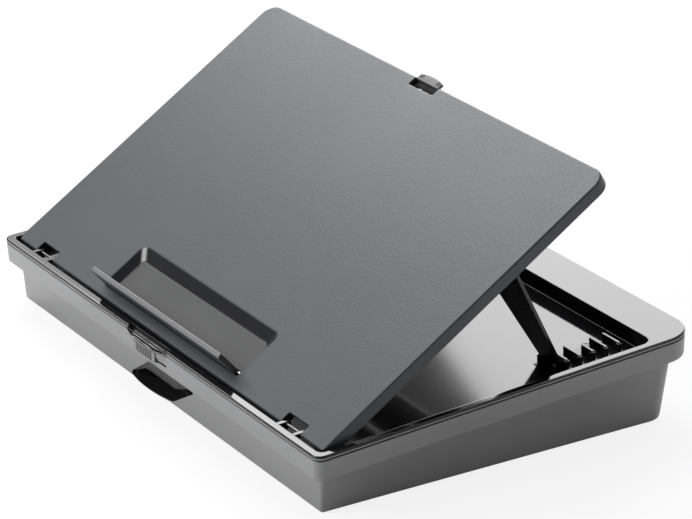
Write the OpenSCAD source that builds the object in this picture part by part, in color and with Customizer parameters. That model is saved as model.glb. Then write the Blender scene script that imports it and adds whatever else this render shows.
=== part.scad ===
// Lap desk: a moulded storage tub with a lift-up tray, and a work board hinged in the tray.
// The board is held up by a folding prop whose toes stand in a stepped rack.
// X runs left to right, Y runs front to rear, Z is up. The origin is under the middle.

/* [Body] */
// Width of the body across the seam
body_w = 390; // [360:1:420]
// Depth of the body from front to rear, without the rear hinges
body_d = 280; // [272:1:290]
// Height of the seam at the front
seam_front = 40.2; // [38:0.1:46]
// Height of the seam at the rear
seam_rear = 59; // [54:0.1:64]
// Corner radius of the seam outline at the front
corner_front_r = 6; // [5:0.5:9]
// Corner radius of the seam outline at the rear
corner_rear_r = 21; // [16:0.5:26]
// Width of the groove that shows between the tray and the tub
seam_gap = 0.8; // [0.4:0.1:1.2]
// Depth of the groove between the tray and the tub
seam_depth = 1.4; // [1:0.1:2]

/* [Tub] */
// Height of the tub's collar below the seam
collar_h = 13.7; // [12.6:0.1:16]
// How far the collar's faces draw in towards their lower edge
collar_draft = 1.3; // [0.6:0.1:1.8]
// Wall of the collar at its top
collar_wall = 2.8; // [2.4:0.1:3]
// How far the lower body stands in from the seam outline, at its top
lower_top_in = 7.4; // [6:0.1:9]
// How far the lower body stands in from the seam outline, at its base
lower_base_in = 10.5; // [9.5:0.1:13]
// Wall and floor of the lower body
tub_wall = 2.3; // [1.8:0.1:3]
// Rubber foot pad height
foot_h = 0.8; // [0.5:0.1:1.5]
// Rubber foot pad radius
foot_r = 7; // [5:0.5:10]
// Middle of a foot pad, in from the seam outline
foot_in = 34; // [24:1:60]

/* [Thumb shelf] */
// Middle of the thumb shelf, from the body's centre line
shelf_x = -2; // [-4:0.5:2]
// Plan radius of the thumb shelf and the swell under it
shelf_r = 76; // [70:1:90]
// How far the thumb shelf stands out from the front
shelf_out = 4.6; // [4:0.1:5.4]
// How far the swell has drawn in at the foot of the collar
shelf_fade = 5.2; // [4.5:0.1:5.8]
// Half width of the cut in the rim over the thumb shelf
shelf_cut = 23; // [19:0.5:25]
// Depth of rim flat that the cut takes away
shelf_cut_in = 3; // [2:0.1:3.2]
// Height of the grip ridges
ridge_h = 0.5; // [0.3:0.1:0.8]

/* [Finger pocket] */
// Half width of the finger pocket
pocket_half = 34; // [28:0.5:40]
// Plan radius of the pocket's lip
lip_r = 138; // [125:1:150]
// Height of the lip
lip_h = 8; // [6:0.1:10]
// Where the lip's top edge stands, behind the front of the seam
lip_y = 3.5; // [2.5:0.1:5]
// How much further back the lip's foot is
lip_fade = 4; // [3:0.1:5]
// Depth of the finger pocket behind the front of the seam
pocket_back = 24; // [20:0.5:30]

/* [Slide latch] */
// Width of the slide button
button_w = 25; // [22:0.5:27]
// Height of the slide button
button_h = 6.6; // [5.6:0.1:7]
// Travel of the slide button
slide_travel = 9.5; // [8:0.5:10]
// Left end of the slide channel, from the centre line
channel_x = -12.3; // [-13:0.1:-11]
// Depth of the channel's upper edge below the seam
channel_drop = 1.3; // [1.2:0.1:1.8]
// Floor of the channel, behind the front of the seam
channel_floor = 0.5; // [0.3:0.1:0.6]
// Skin between the channel and the latch space behind it
channel_skin = 0.9; // [0.8:0.1:1]
// Running clearance round the button and the bolt
slide_gap = 0.3; // [0.2:0.05:0.4]

/* [Tray] */
// Height of the rim's top over the seam
rim_h = 2.8; // [2.4:0.1:3.4]
// Width of the rim flat at the front
rim_front = 5.2; // [4.9:0.1:6]
// Width of the rim flat at the sides
rim_side = 5; // [4.8:0.1:6]
// Depth of the deck behind the well
deck_d = 32; // [28:0.5:34]
// Depth of the well below the rim's top
well_depth = 10.7; // [9.8:0.1:11]
// Corner radius of the well at the rear
well_rear_r = 8; // [6:0.5:12]
// Corner radius of the well at the front
well_front_r = 4; // [3:0.5:5]
// Wall and floor of the well
tray_wall = 1.7; // [1.4:0.1:1.9]

/* [Rear hinges] */
// Distance of the two rear hinges from the centre line
rear_hinge_x = 120; // [90:1:150]
// Barrel radius of the rear hinges
barrel_r = 3; // [2.6:0.1:3.4]
// Pin radius of the rear hinges
rear_pin_r = 1.5; // [1.2:0.1:1.7]
// Length of one rear hinge
rear_hinge_l = 26; // [20:1:32]
// Depth of the rear hinge axis below the seam
rear_hinge_drop = 5; // [4.6:0.1:6]

/* [Rack] */
// Number of upright fins
fin_count = 6; // [4:1:6]
// Distance from one fin to the next
fin_pitch = 10; // [9.5:0.05:10.5]
// Middle of the last fin, in front of the well's rear wall
rack_back = 12.73; // [11:0.01:16]
// Thickness of a fin
fin_t = 1.6; // [1.2:0.1:2]
// Height of a fin's top below the seam
fin_top = 1.2; // [0.8:0.1:2]
// Width of a fin
fin_w = 16.6; // [15:0.1:18]
// Outer end of the fins, in from the well's side
rack_side = 17.4; // [15:0.1:20]
// Thickness of the rack's base strip
rack_base = 0.6; // [0.4:0.1:0.8]

/* [Lid] */
// Gap between the lid and the side of the well
lid_side_gap = 2; // [1.5:0.1:3]
// Gap behind the lid when it lies flat
lid_rear_gap = 0.85; // [0.6:0.05:2]
// Height of the lid's skirt
skirt_h = 8.4; // [8.2:0.1:8.8]
// Panel thickness
panel_t = 2.2; // [1.8:0.1:2.6]
// Skirt thickness
skirt_t = 2.2; // [1.8:0.1:2.6]
// Corner radius at the rear of the lid
lid_rear_r = 11; // [8:0.5:14]
// Corner radius at the front of the lid
lid_front_r = 3; // [2:0.5:4]
// Hinge axis behind the lid's front edge
axis_v = 1.6; // [1.5:0.05:1.8]
// Hinge axis below the lid's top
axis_w = 2.1; // [2:0.05:2.4]
// Hinge axis behind the rim's inner edge
axis_back = 5.18; // [4.8:0.02:5.6]
// Hinge axis below the rim's top
axis_drop = 1.54; // [1.5:0.02:1.7]

/* [Lid hinges] */
// Middle of a lid hinge, in from the lid's side
hinge_in = 35.4; // [33:0.1:45]
// Outside width over the two arms of a hinge
hinge_w = 20.2; // [16:0.1:22]
// Thickness of an arm
arm_t = 2.2; // [1.8:0.1:2.6]
// Clearance between an arm and the side of the lid's notch
notch_gap = 0.7; // [0.4:0.1:1.2]
// Length of the lid's hinge notch
notch_l = 8; // [7:0.1:9]
// Radius of the lid hinge pin
lid_pin_r = 0.8; // [0.7:0.05:0.9]
// Radial running clearance of every hinge pin
pin_fit = 0.05; // [0.03:0.01:0.08]

/* [Ledge] */
// Half width of the ledge's pocket at the lid's surface
well_half = 82.5; // [70:0.5:90]
// Front of the pocket, behind the lid's front edge
well_v0 = 7.6; // [7.2:0.1:7.8]
// Rear of the pocket at the lid's surface
well_v1 = 45; // [42:0.5:50]
// Depth of the pocket
ledge_well_d = 4.7; // [4.6:0.1:5]
// How far the pocket's ends draw in at its foot
well_end_in = 5; // [4:0.1:6]
// How far the pocket's rear wall draws in at its foot
well_back_in = 8; // [6:0.5:10]
// Wall under the pocket
well_wall = 1.4; // [1.2:0.1:1.6]
// Length of the ledge from its axis
ledge_l = 20.1; // [16:0.1:24]
// Thickness of the ledge
ledge_t = 3.5; // [3:0.1:3.6]
// Ledge axis behind the lid's front edge
ledge_v = 10.3; // [10.2:0.05:10.6]
// Ledge axis below the lid's top
ledge_w = 2.2; // [2.15:0.05:2.3]
// How far the raised ledge leans past square
ledge_lean = 8.2; // [4:0.1:8.6]
// Barrel radius of the ledge
ledge_barrel_r = 2.06; // [2:0.02:2.1]
// Clearance between the ledge's ends and its pocket
ledge_gap = 0.35; // [0.3:0.05:0.6]
// Radius of the ledge's pivot studs
ledge_pin_r = 0.9; // [0.7:0.05:1]

/* [Prop] */
// Prop axis in front of the lid's rear edge
prop_back = 74.5; // [72:0.5:78]
// Prop axis below the lid's top
prop_w = 5.8; // [5.7:0.05:5.9]
// Length of the prop from its axis to the middle of its toe
prop_l = 94.45; // [92:0.05:97]
// Thickness of the prop's plate
prop_t = 2.1; // [1.8:0.1:2.4]
// Gap between the toe and the fin that stops it
toe_back = 0.8; // [0.4:0.1:1.2]
// Gap between the toe and the rack's base strip
toe_gap = 0.2; // [0.1:0.05:0.4]
// Radius of the rounded toe
toe_r = 1.5; // [1.2:0.05:1.6]
// Edge of the prop, in from the outer end of the fins
prop_in = 1.6; // [1:0.1:4]
// Width of a foot at the toe
foot_w = 21; // [16:0.5:24]
// Radius of the prop's barrel
prop_barrel_r = 2.4; // [2.3:0.05:2.5]
// Radius of the rod that carries the prop
rod_r = 1.25; // [1.1:0.05:1.35]

/* [Catch] */
// Half width of the notch for the catch
catch_notch = 12.6; // [11:0.1:15]
// Length of the notch for the catch
catch_notch_l = 6.8; // [6.5:0.1:8]
// Half width of the catch
catch_half = 10.1; // [8:0.1:10.5]
// How far the catch stands out behind the lid
catch_out = 5.4; // [4:0.1:6]
// Catch axis in front of the lid's rear edge
catch_back = 3; // [2.8:0.1:3.2]
// Catch axis below the lid's top
catch_w = 4.4; // [4.2:0.1:4.6]
// Radius of the catch pin
catch_pin_r = 0.8; // [0.6:0.05:0.9]

/* [Hidden] */
$fn = 48;
eps = 0.01;

// The seam plane and the tray frame, which leans with it
tilt = atan((seam_rear - seam_front) / body_d);
slope_d = body_d / cos(tilt);
// Rear hinge axis in the tray frame
rear_y = slope_d + barrel_r + 0.4;
rear_z = -rear_hinge_drop;
// Middle of the whole part, front to rear
back_y = rear_y * cos(tilt) - rear_z * sin(tilt) + barrel_r;
y_mid = (back_y - shelf_out) / 2;

// Well of the tray, in the tray frame
well_w = body_w - 2 * rim_side;
well_y1 = slope_d - deck_d;
// The rack stands in the well's rear corners
fin_first = well_y1 - rack_back - (fin_count - 1) * fin_pitch;
fin_out = well_w / 2 - rack_side;
fin_in = fin_out - fin_w;
floor_z = rim_h - well_depth;
// Lid hinge axis in the tray frame
hinge_y = rim_front + axis_back;
hinge_z = rim_h - axis_drop;
// The lid fills the well when it lies flat
lid_w = well_w - 2 * lid_side_gap;
lid_l = well_y1 - lid_rear_gap - hinge_y + axis_v;
hinge_x = lid_w / 2 - hinge_in;
// The prop hangs from the lid, and its feet stand inside the ends of the fins
prop_v = lid_l - prop_back;
prop_half = fin_out - prop_in;
// Toe of the prop at rest, in front of the second fin
toe_y = fin_first + fin_pitch - fin_t / 2 - toe_r - toe_back;
toe_z = floor_z + rack_base + toe_r + toe_gap;
// The lid's angle follows from the triangle of hinge, prop axis and toe
prop_reach = norm([prop_v - axis_v, axis_w - prop_w]);
prop_under = atan((prop_w - axis_w) / (prop_v - axis_v));
toe_reach = norm([toe_y - hinge_y, toe_z - hinge_z]);
toe_dir = atan((toe_z - hinge_z) / (toe_y - hinge_y));
apex = acos((pow(prop_reach, 2) + pow(toe_reach, 2) - pow(prop_l, 2)) / (2 * prop_reach * toe_reach));
lid_angle = toe_dir + apex + prop_under;
// Prop axis in the tray frame, and the prop's direction
prop_y = hinge_y + prop_reach * cos(toe_dir + apex);
prop_z = hinge_z + prop_reach * sin(toe_dir + apex);
prop_dir = atan2(toe_z - prop_z, toe_y - prop_y);

// Where the ledge's plate lies, measured from its axis
ledge_front = ledge_barrel_r;
ledge_rear = ledge_t - ledge_front;
// Slope of the ledge well's ends
end_slope = well_end_in / ledge_well_d;
// Widths of the hinge notch
notch_half = hinge_w / 2 + notch_gap;
cheek_t = 2.4;
// Slide latch
button_y = -shelf_out + 1.1;
channel_w = button_w + slide_travel + 2 * slide_gap;
channel_h = button_h + 2 * slide_gap;
bolt_y = channel_floor + channel_skin + 0.15;
bolt_t = collar_wall - bolt_y;
bolt_h = 2.8;
bolt_z = -channel_drop - 3.6;
button_x = channel_x + slide_gap;
strike_x = button_x + button_w + 1.6;
strike_w = 6;
strike_t = 1.5;
// The button's stem and the bolt's lower bar pass under the strike
stem_w = 7;
stem_h = 1;
stem_z = -channel_drop - channel_h + slide_gap;
// Ribs of the prop's support on the lid
lug_t = 3;
rod_half = prop_half + 1 + lug_t + 1.6;

// Plan outline with its own corner radii at the front and the rear, front edge on the X axis
module outline(w, d, rf, rr) {
    translate([-w / 2 + rf, 0]) square([w - 2 * rf, d / 2]);
    translate([-w / 2, rf]) square([w, d - rf - rr]);
    translate([-w / 2 + rr, d / 2]) square([w - 2 * rr, d / 2]);
    for (s = [-1, 1]) {
        translate([s * (w / 2 - rf), rf]) circle(r = rf);
        translate([s * (w / 2 - rr), d - rr]) circle(r = rr);
    }
}
// A plate of that outline, drawn in from the seam outline by a margin
module inset_plate(margin, t, d = body_d) {
    translate([0, margin, 0]) linear_extrude(t)
        outline(body_w - 2 * margin, d - 2 * margin,
            max(corner_front_r - margin * 0.4, 1.5), max(corner_rear_r - margin * 0.6, 3), $fn = 32);
}
// Everything on the leaning seam plane
module tray_frame() {
    translate([0, 0, seam_front]) rotate([tilt, 0, 0]) children();
}
// Everything on the raised lid, with X across, Y up the board and Z square to it
module lid_frame() {
    tray_frame() translate([0, hinge_y, hinge_z]) rotate([lid_angle, 0, 0])
        translate([0, -axis_v, axis_w]) children();
}
// The part's origin is under the middle of its outline
module placed() {
    translate([0, -y_mid, 0]) children();
}
// A profile drawn in Y and Z, carried along X from x0 to x1
module along_x(x0, x1) {
    translate([x0, 0, 0]) rotate([90, 0, 90]) linear_extrude(x1 - x0) children();
}
// A rod along X, at y and z
module rod_x(x0, x1, y, z, r) {
    translate([x0, y, z]) rotate([0, 90, 0]) cylinder(h = x1 - x0, r = r);
}
// Box from one corner to the other
module block(a, b) {
    translate(a) cube(b - a);
}
module both_sides() {
    children();
    mirror([1, 0, 0]) children();
}

// Swell of the front under the thumb shelf, drawn in by a margin
module swell(margin, h0, h1) {
    shrink = shelf_fade / collar_h;
    translate([shelf_x, shelf_r - shelf_out, h0])
        cylinder(h = h1 - h0, r1 = shelf_r - margin + h0 * shrink, r2 = shelf_r - margin + h1 * shrink,
            $fn = 180);
}
module lower_outside() {
    hull() {
        translate([0, 0, foot_h]) inset_plate(lower_base_in, 0.1);
        tray_frame() translate([0, 0, -collar_h + 0.5]) inset_plate(lower_top_in, 0.1, slope_d);
    }
}
module lower_inside() {
    hull() {
        translate([0, 0, foot_h + tub_wall]) inset_plate(lower_base_in + tub_wall, 0.1);
        tray_frame() translate([0, 0, -collar_h + tub_wall + 0.6])
            inset_plate(lower_top_in + tub_wall, 0.4, slope_d);
    }
}
module collar_outside() {
    tray_frame() hull() {
        translate([0, 0, -collar_h]) inset_plate(collar_draft, 0.1, slope_d);
        translate([0, 0, -seam_gap - 0.1]) inset_plate(0, 0.1, slope_d);
    }
}
// Lip of the finger pocket, drawn in by a margin
module lip_cone(margin, z0, z1) {
    grow = lip_fade / lip_h;
    translate([0, lip_y + lip_r, z0])
        cylinder(h = z1 - z0, r1 = lip_r - margin - (lip_h - z0) * grow,
            r2 = lip_r - margin - (lip_h - z1) * grow, $fn = 240);
}

module tub() {
    color("#6b6b6e") placed() difference() {
        union() {
            difference() {
                union() {
                    lower_outside();
                    collar_outside();
                }
                lower_inside();
                tray_frame() translate([0, 0, -collar_h + tub_wall])
                    inset_plate(collar_wall, collar_h, slope_d);
            }
            // Swell under the thumb shelf
            tray_frame() intersection() {
                swell(0, -collar_h, -seam_gap);
                block([shelf_x - shelf_r / 2, -2 * shelf_out, -2 * collar_h],
                    [shelf_x + shelf_r / 2, collar_wall, rim_h]);
            }
            // Housing of the finger pocket
            intersection() {
                lower_outside();
                block([-pocket_half - tub_wall, 0, foot_h],
                    [pocket_half + tub_wall, pocket_back + tub_wall, seam_front]);
            }
            // Lip of the finger pocket
            intersection() {
                lip_cone(0, foot_h, lip_h);
                block([-pocket_half - 4, 0, 0], [pocket_half + 4, lower_base_in + tub_wall, lip_h]);
            }
            // Rear hinge knuckles
            tray_frame() both_sides() rear_knuckle(rear_hinge_x - rear_hinge_l / 4 + 0.3,
                rear_hinge_x + rear_hinge_l / 4 - 0.3, false);
        }
        // Finger pocket
        difference() {
            block([-pocket_half, -1, foot_h + tub_wall + 2], [pocket_half, pocket_back, seam_front]);
            tray_frame() block([-body_w, -20, -collar_h], [body_w, body_d, seam_rear]);
            difference() {
                block([-2 * pocket_half, -5, 0], [2 * pocket_half, 2 * pocket_back, lip_h]);
                lip_cone(tub_wall - 0.3, foot_h, lip_h + 1);
            }
        }
        // Channel of the slide button
        tray_frame() block([channel_x, -20, -channel_drop - channel_h],
            [channel_x + channel_w, channel_floor, -channel_drop]);
        // Space for the bolt and the strike behind the channel
        tray_frame() block([channel_x - 1, channel_floor + channel_skin, -channel_drop - channel_h],
            [channel_x + channel_w + 1, collar_wall + 1, 5]);
        // Slot for the button's stem, along the foot of the channel
        tray_frame() block([button_x + button_w - stem_w - slide_gap, channel_floor - 1, stem_z - slide_gap],
            [button_x + button_w + slide_travel + slide_gap, collar_wall, stem_z + stem_h + slide_gap]);
        // Bores of the rear hinges
        tray_frame() both_sides() rod_x(rear_hinge_x - rear_hinge_l, rear_hinge_x + rear_hinge_l,
            rear_y, rear_z, rear_pin_r + pin_fit);
    }
}
// One knuckle of a rear hinge, with its web to the tub's wall or to the tray's rim
module rear_knuckle(x0, x1, on_tray) {
    rod_x(x0, x1, rear_y, rear_z, barrel_r);
    if (on_tray)
        along_x(x0, x1) polygon([
            [slope_d - 1, 0.3], [slope_d - 1, 1.3], [slope_d + 1.4, 1.3],
            [rear_y + barrel_r * 0.7, rear_z + barrel_r * 0.7], [rear_y, rear_z],
            [slope_d + 0.4, rear_z], [slope_d + 0.4, 0.3]
        ]);
    else
        along_x(x0, x1) polygon([
            [slope_d - 2.4, rear_z + barrel_r], [rear_y, rear_z + barrel_r], [rear_y, rear_z],
            [slope_d - 2.4, rear_z - barrel_r]
        ]);
}
module foot_pads() {
    color("#18181a") placed()
        for (sx = [-1, 1], sy = [0, 1])
            translate([sx * (body_w / 2 - foot_in), foot_in + sy * (body_d - 2 * foot_in), 0])
                cylinder(h = foot_h, r = foot_r);
}
module slider_button() {
    pitch = (button_w - 5) / 10;
    color("#5b5b5e") placed() tray_frame() difference() {
        union() {
            block([button_x, button_y, -channel_drop - slide_gap - button_h],
                [button_x + button_w, channel_floor - 0.1, -channel_drop - slide_gap]);
            block([button_x + button_w - stem_w, channel_floor - 0.2, stem_z],
                [button_x + button_w, bolt_y, stem_z + stem_h]);
        }
        for (i = [0:9])
            translate([button_x + 2 + i * pitch, button_y - 0.01, -channel_drop - slide_gap - button_h - 1])
                cube([pitch * 0.45, 0.7, button_h + 2]);
    }
}
module slider_bolt() {
    color("#a8a8aa") placed() tray_frame() {
        block([button_x + 2, bolt_y, bolt_z], [button_x + button_w + 0.6, bolt_y + bolt_t, bolt_z + bolt_h]);
        block([button_x + 2, bolt_y, stem_z], [button_x + button_w, bolt_y + bolt_t, stem_z + stem_h]);
        block([button_x + 2, bolt_y, stem_z],
            [strike_x - slide_travel - slide_gap, bolt_y + bolt_t, bolt_z + bolt_h]);
    }
}

module tray() {
    color("#26262a") placed() tray_frame() difference() {
        union() {
            translate([0, 0, 0.2]) inset_plate(0, rim_h - 0.2, slope_d);
            translate([0, 0, -seam_gap]) inset_plate(seam_depth, seam_gap + 0.2 + eps, slope_d);
            // Outside of the well
            translate([0, rim_front - tray_wall, floor_z - tray_wall]) linear_extrude(-floor_z + tray_wall)
                outline(well_w + 2 * tray_wall, well_y1 - rim_front + 2 * tray_wall,
                    well_front_r + tray_wall, well_rear_r + tray_wall);
            // Thumb shelf
            intersection() {
                translate([shelf_x, shelf_r - shelf_out, -seam_gap])
                    cylinder(h = seam_gap + 0.3, r = shelf_r, $fn = 180);
                block([shelf_x - shelf_r / 2, -2 * shelf_out, -seam_gap],
                    [shelf_x + shelf_r / 2, rim_front - 1, 0.3]);
            }
            both_sides() for (s = [-1, 1])
                rear_knuckle(rear_hinge_x + s * rear_hinge_l * 3 / 8 - rear_hinge_l / 8,
                    rear_hinge_x + s * rear_hinge_l * 3 / 8 + rear_hinge_l / 8, true);
        }
        // Well
        difference() {
            translate([0, rim_front, floor_z]) linear_extrude(well_depth + 5)
                outline(well_w, well_y1 - rim_front, well_front_r, well_rear_r);
            hinge_arms();
        }
        // Cut in the rim over the thumb shelf
        block([shelf_x - shelf_cut, -20, 0.3], [shelf_x + shelf_cut, shelf_cut_in, 20]);
        // Grip grooves between the ridges of the shelf
        for (i = [0:2])
            block([shelf_x - shelf_cut + 2 + i * 3, -3.4 + (2 - i) * 2.4, 0.3 - ridge_h],
                [shelf_x + shelf_cut - 2 - i * 3, -2.2 + (2 - i) * 2.4, 10]);
        // Recess in the deck for the catch
        block([-catch_notch, well_y1 - 1, rim_h - 3.2], [catch_notch, well_y1 + catch_out + 1.4, rim_h + 5]);
        // Bores of the lid hinge arms
        both_sides()
            rod_x(hinge_x - hinge_w, hinge_x + hinge_w / 2 + 0.5, hinge_y, hinge_z, lid_pin_r + pin_fit);
        // Bores of the rear hinges
        both_sides() rod_x(rear_hinge_x - rear_hinge_l, rear_hinge_x + rear_hinge_l,
            rear_y, rear_z, rear_pin_r + pin_fit);
        // Screw holes of the racks
        both_sides() translate([screw_x, screw_y, floor_z - tray_wall - 1])
            cylinder(h = 10, r = screw_r + pin_fit);
    }
}
// The arms that carry the lid's hinge pins
module hinge_arms() {
    both_sides() for (s = [0, 1])
        translate([hinge_x - hinge_w / 2 + s * (hinge_w - arm_t), 0, 0]) {
            block([0, rim_front - 1, hinge_z - axis_drop], [arm_t, hinge_y, rim_h]);
            rod_x(0, arm_t, hinge_y, hinge_z, axis_drop);
        }
}
// Screws that hold the racks
screw_r = 1.2;
screw_x = fin_in + 2.2;
screw_y = fin_first + 3.5 * fin_pitch;
screw_head_r = 2.4;
module strike() {
    color("#3a3a3e") placed() tray_frame()
        block([strike_x, bolt_y, bolt_z - slide_gap - strike_t],
            [strike_x + strike_w, rim_front - tray_wall, bolt_z - slide_gap]);
}
// Comb of upright fins that the prop's toe stands against
module rack() {
    length = (fin_count - 1) * fin_pitch;
    tray_frame() difference() {
        union() {
            block([fin_in - 1.5, fin_first - 2, floor_z],
                [fin_out + 1.6, fin_first + length + 3, floor_z + rack_base]);
            for (i = [0:fin_count - 1])
                block([fin_in + (i == 3 ? 5.2 : 0), fin_first + i * fin_pitch - fin_t / 2, floor_z],
                    [fin_out, fin_first + i * fin_pitch + fin_t / 2, -fin_top]);
            for (i = [0:fin_count - 1])
                block([fin_out - 1.4, fin_first + i * fin_pitch - fin_t / 2 - 0.9, floor_z],
                    [fin_out + 1.2, fin_first + i * fin_pitch + fin_t / 2, -fin_top - 0.6]);
            translate([screw_x, screw_y, floor_z]) cylinder(h = 3.4, r = screw_head_r + 0.5);
        }
        translate([screw_x, screw_y, floor_z - 1]) cylinder(h = 10, r = screw_r + pin_fit);
        translate([screw_x, screw_y, floor_z + 2.2]) cylinder(h = 10, r = screw_head_r + pin_fit);
    }
}
module rack_right() {
    color("#1c1c1f") placed() rack();
}
module rack_left() {
    color("#1c1c1f") placed() mirror([1, 0, 0]) rack();
}
module rack_screws() {
    color("#8a8a8c") placed() both_sides() tray_frame() translate([screw_x, screw_y, 0]) difference() {
        union() {
            translate([0, 0, floor_z - tray_wall]) cylinder(h = tray_wall + 2.2, r = screw_r);
            translate([0, 0, floor_z + 2.2]) cylinder(h = 1, r = screw_head_r);
        }
        for (a = [0, 90])
            rotate([0, 0, a]) translate([-1.5, -0.3, floor_z + 2.7]) cube([3, 0.6, 1]);
    }
}
module tray_hinge_pins() {
    color("#9a9a9c") placed() both_sides() tray_frame()
        rod_x(rear_hinge_x - rear_hinge_l / 2, rear_hinge_x + rear_hinge_l / 2, rear_y, rear_z, rear_pin_r);
}

// The ledge's well in the lid, or the pan round it
module ledge_well(grow, top) {
    hull() {
        translate([-well_half - grow, well_v0 - grow, -0.5 * grow])
            cube([2 * (well_half + grow), well_v1 - well_v0 + 2 * grow, top + 0.5 * grow]);
        translate([-well_half - grow + well_end_in, well_v0 - grow, -ledge_well_d - grow])
            cube([2 * (well_half + grow - well_end_in), well_v1 - well_back_in - well_v0 + 2 * grow, eps]);
    }
}
module lid() {
    notch_in = hinge_x - notch_half;
    notch_out = hinge_x + notch_half;
    color("#646467") placed() lid_frame() difference() {
        union() {
            difference() {
                translate([0, 0, -skirt_h]) linear_extrude(skirt_h)
                    outline(lid_w, lid_l, lid_front_r, lid_rear_r);
                translate([0, skirt_t, -skirt_h - 1]) linear_extrude(skirt_h + 1 - panel_t)
                    outline(lid_w - 2 * skirt_t, lid_l - 2 * skirt_t, 1, lid_rear_r - skirt_t);
            }
            ledge_well(well_wall, -0.2);
            // Bosses for the ledge's studs
            both_sides() block([well_half - ledge_w * end_slope + 0.2, well_v0 - 0.6, -ledge_w - 2.4],
                [well_half + 4, ledge_v + 3, -0.5]);
            // Cheeks of the hinge notches
            both_sides() {
                block([notch_in - cheek_t, 0.5, -axis_w - 3.4], [notch_in, notch_l + cheek_t, -0.5]);
                block([notch_out, 0.5, -axis_w - 3.4], [notch_out + cheek_t, notch_l + cheek_t, -0.5]);
                block([notch_in - 0.5, notch_l, -skirt_h], [notch_out + 0.5, notch_l + 1.6, -0.5]);
            }
            // Cheeks of the catch notch
            both_sides() block([catch_notch, lid_l - catch_notch_l - 2, -skirt_h],
                [catch_notch + cheek_t, lid_l - 0.5, -0.5]);
            block([-catch_notch - 0.5, lid_l - catch_notch_l - 1.8, -skirt_h],
                [catch_notch + 0.5, lid_l - catch_notch_l, -0.5]);
            // Lugs of the prop's rod
            both_sides() block([prop_half + 1, prop_v - 3, -skirt_h + 0.2],
                [prop_half + 1 + lug_t, prop_v + 3, -0.5]);
            block([-lug_t / 2, prop_v - 3, -skirt_h + 0.2], [lug_t / 2, prop_v + 3, -0.5]);
        }
        ledge_well(0, 0.2);
        both_sides() block([notch_in, -1, -skirt_h - 1], [notch_out, notch_l, 1]);
        block([-catch_notch, lid_l - catch_notch_l, -skirt_h - 1], [catch_notch, lid_l + 1, 1]);
        // Bores
        both_sides() rod_x(notch_in - cheek_t, notch_out + cheek_t, axis_v, -axis_w, lid_pin_r + pin_fit);
        both_sides() rod_x(well_half - 8, well_half + 3, ledge_v, -ledge_w, ledge_pin_r + pin_fit);
        rod_x(-rod_half, rod_half, prop_v, -prop_w, rod_r + pin_fit);
        rod_x(-catch_notch - cheek_t - 1, catch_notch + cheek_t + 1, lid_l - catch_back, -catch_w,
            catch_pin_r + pin_fit);
    }
}
module lid_hinge_pins() {
    color("#b4b4b6") placed() lid_frame() both_sides()
        rod_x(hinge_x - notch_half - cheek_t + 0.2, hinge_x + notch_half + cheek_t - 0.2,
            axis_v, -axis_w, lid_pin_r);
}
module prop_rod() {
    color("#9a9a9c") placed() lid_frame() rod_x(-rod_half, rod_half, prop_v, -prop_w, rod_r);
}
module rod_clips() {
    color("#9a9a9c") placed() lid_frame() both_sides() difference() {
        rod_x(rod_half - 1.4, rod_half - 0.6, prop_v, -prop_w, rod_r + 1.3);
        rod_x(rod_half - 2, rod_half + 1, prop_v, -prop_w, rod_r + 0.01);
    }
}
// The ledge is drawn upright about its axis and then leant forward
module ledge() {
    foot_half = well_half - ledge_w * end_slope - ledge_gap * 2;
    front_half = well_half - (ledge_w - ledge_front) * end_slope - ledge_gap;
    rear_half = front_half - ledge_t * end_slope;
    color("#3c3c3f") placed() lid_frame()
        translate([0, ledge_v, -ledge_w]) rotate([ledge_lean, 0, 0]) difference() {
            union() {
                intersection() {
                    linear_extrude(ledge_l) polygon([
                        [-front_half, -ledge_front], [front_half, -ledge_front],
                        [rear_half, ledge_rear], [-rear_half, ledge_rear]
                    ]);
                    translate([0, 10, 0]) rotate([90, 0, 0]) linear_extrude(20) polygon([
                        [-foot_half, 0], [foot_half, 0], [front_half + 0.2, ledge_w + 0.4],
                        [front_half + 0.2, ledge_l - 3], [front_half - 2.8, ledge_l],
                        [-front_half + 2.8, ledge_l], [-front_half - 0.2, ledge_l - 3],
                        [-front_half - 0.2, ledge_w + 0.4]
                    ]);
                }
                rod_x(-well_half + well_end_in + 0.6, well_half - well_end_in - 0.6, 0, 0, ledge_barrel_r);
            }
            both_sides() rod_x(well_half - well_end_in - 6, well_half + 5, 0, 0, ledge_pin_r + 0.01);
        }
}
module ledge_studs() {
    color("#9a9a9c") placed() lid_frame() both_sides()
        rod_x(well_half - well_end_in - 6, well_half + 2.6, ledge_v, -ledge_w, ledge_pin_r);
}
// Flat plate with two feet, drawn with its length along Y from the axis, and turned to its direction
module prop_leg() {
    inner = prop_half - foot_w;
    color("#141416") placed() tray_frame() translate([0, prop_y, prop_z]) rotate([prop_dir, 0, 0])
        difference() {
            union() {
                translate([0, 0, -prop_t / 2]) linear_extrude(prop_t) difference() {
                    translate([-prop_half, 0]) square([2 * prop_half, prop_l]);
                    polygon([
                        [-inner, prop_l + 1], [-inner + 15, prop_l * 0.51], [-inner + 21, prop_l * 0.37],
                        [-inner + 34, prop_l * 0.27], [inner - 34, prop_l * 0.27],
                        [inner - 21, prop_l * 0.37], [inner - 15, prop_l * 0.51], [inner, prop_l + 1]
                    ]);
                    translate([-lug_t / 2 - 0.5, -10]) square([lug_t + 1, 14]);
                }
                rod_x(-prop_half, -lug_t / 2 - 0.5, 0, 0, prop_barrel_r);
                rod_x(lug_t / 2 + 0.5, prop_half, 0, 0, prop_barrel_r);
                both_sides() rod_x(inner, prop_half, prop_l, 0, toe_r);
            }
            rod_x(-rod_half, rod_half, 0, 0, rod_r + pin_fit);
        }
}

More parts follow.
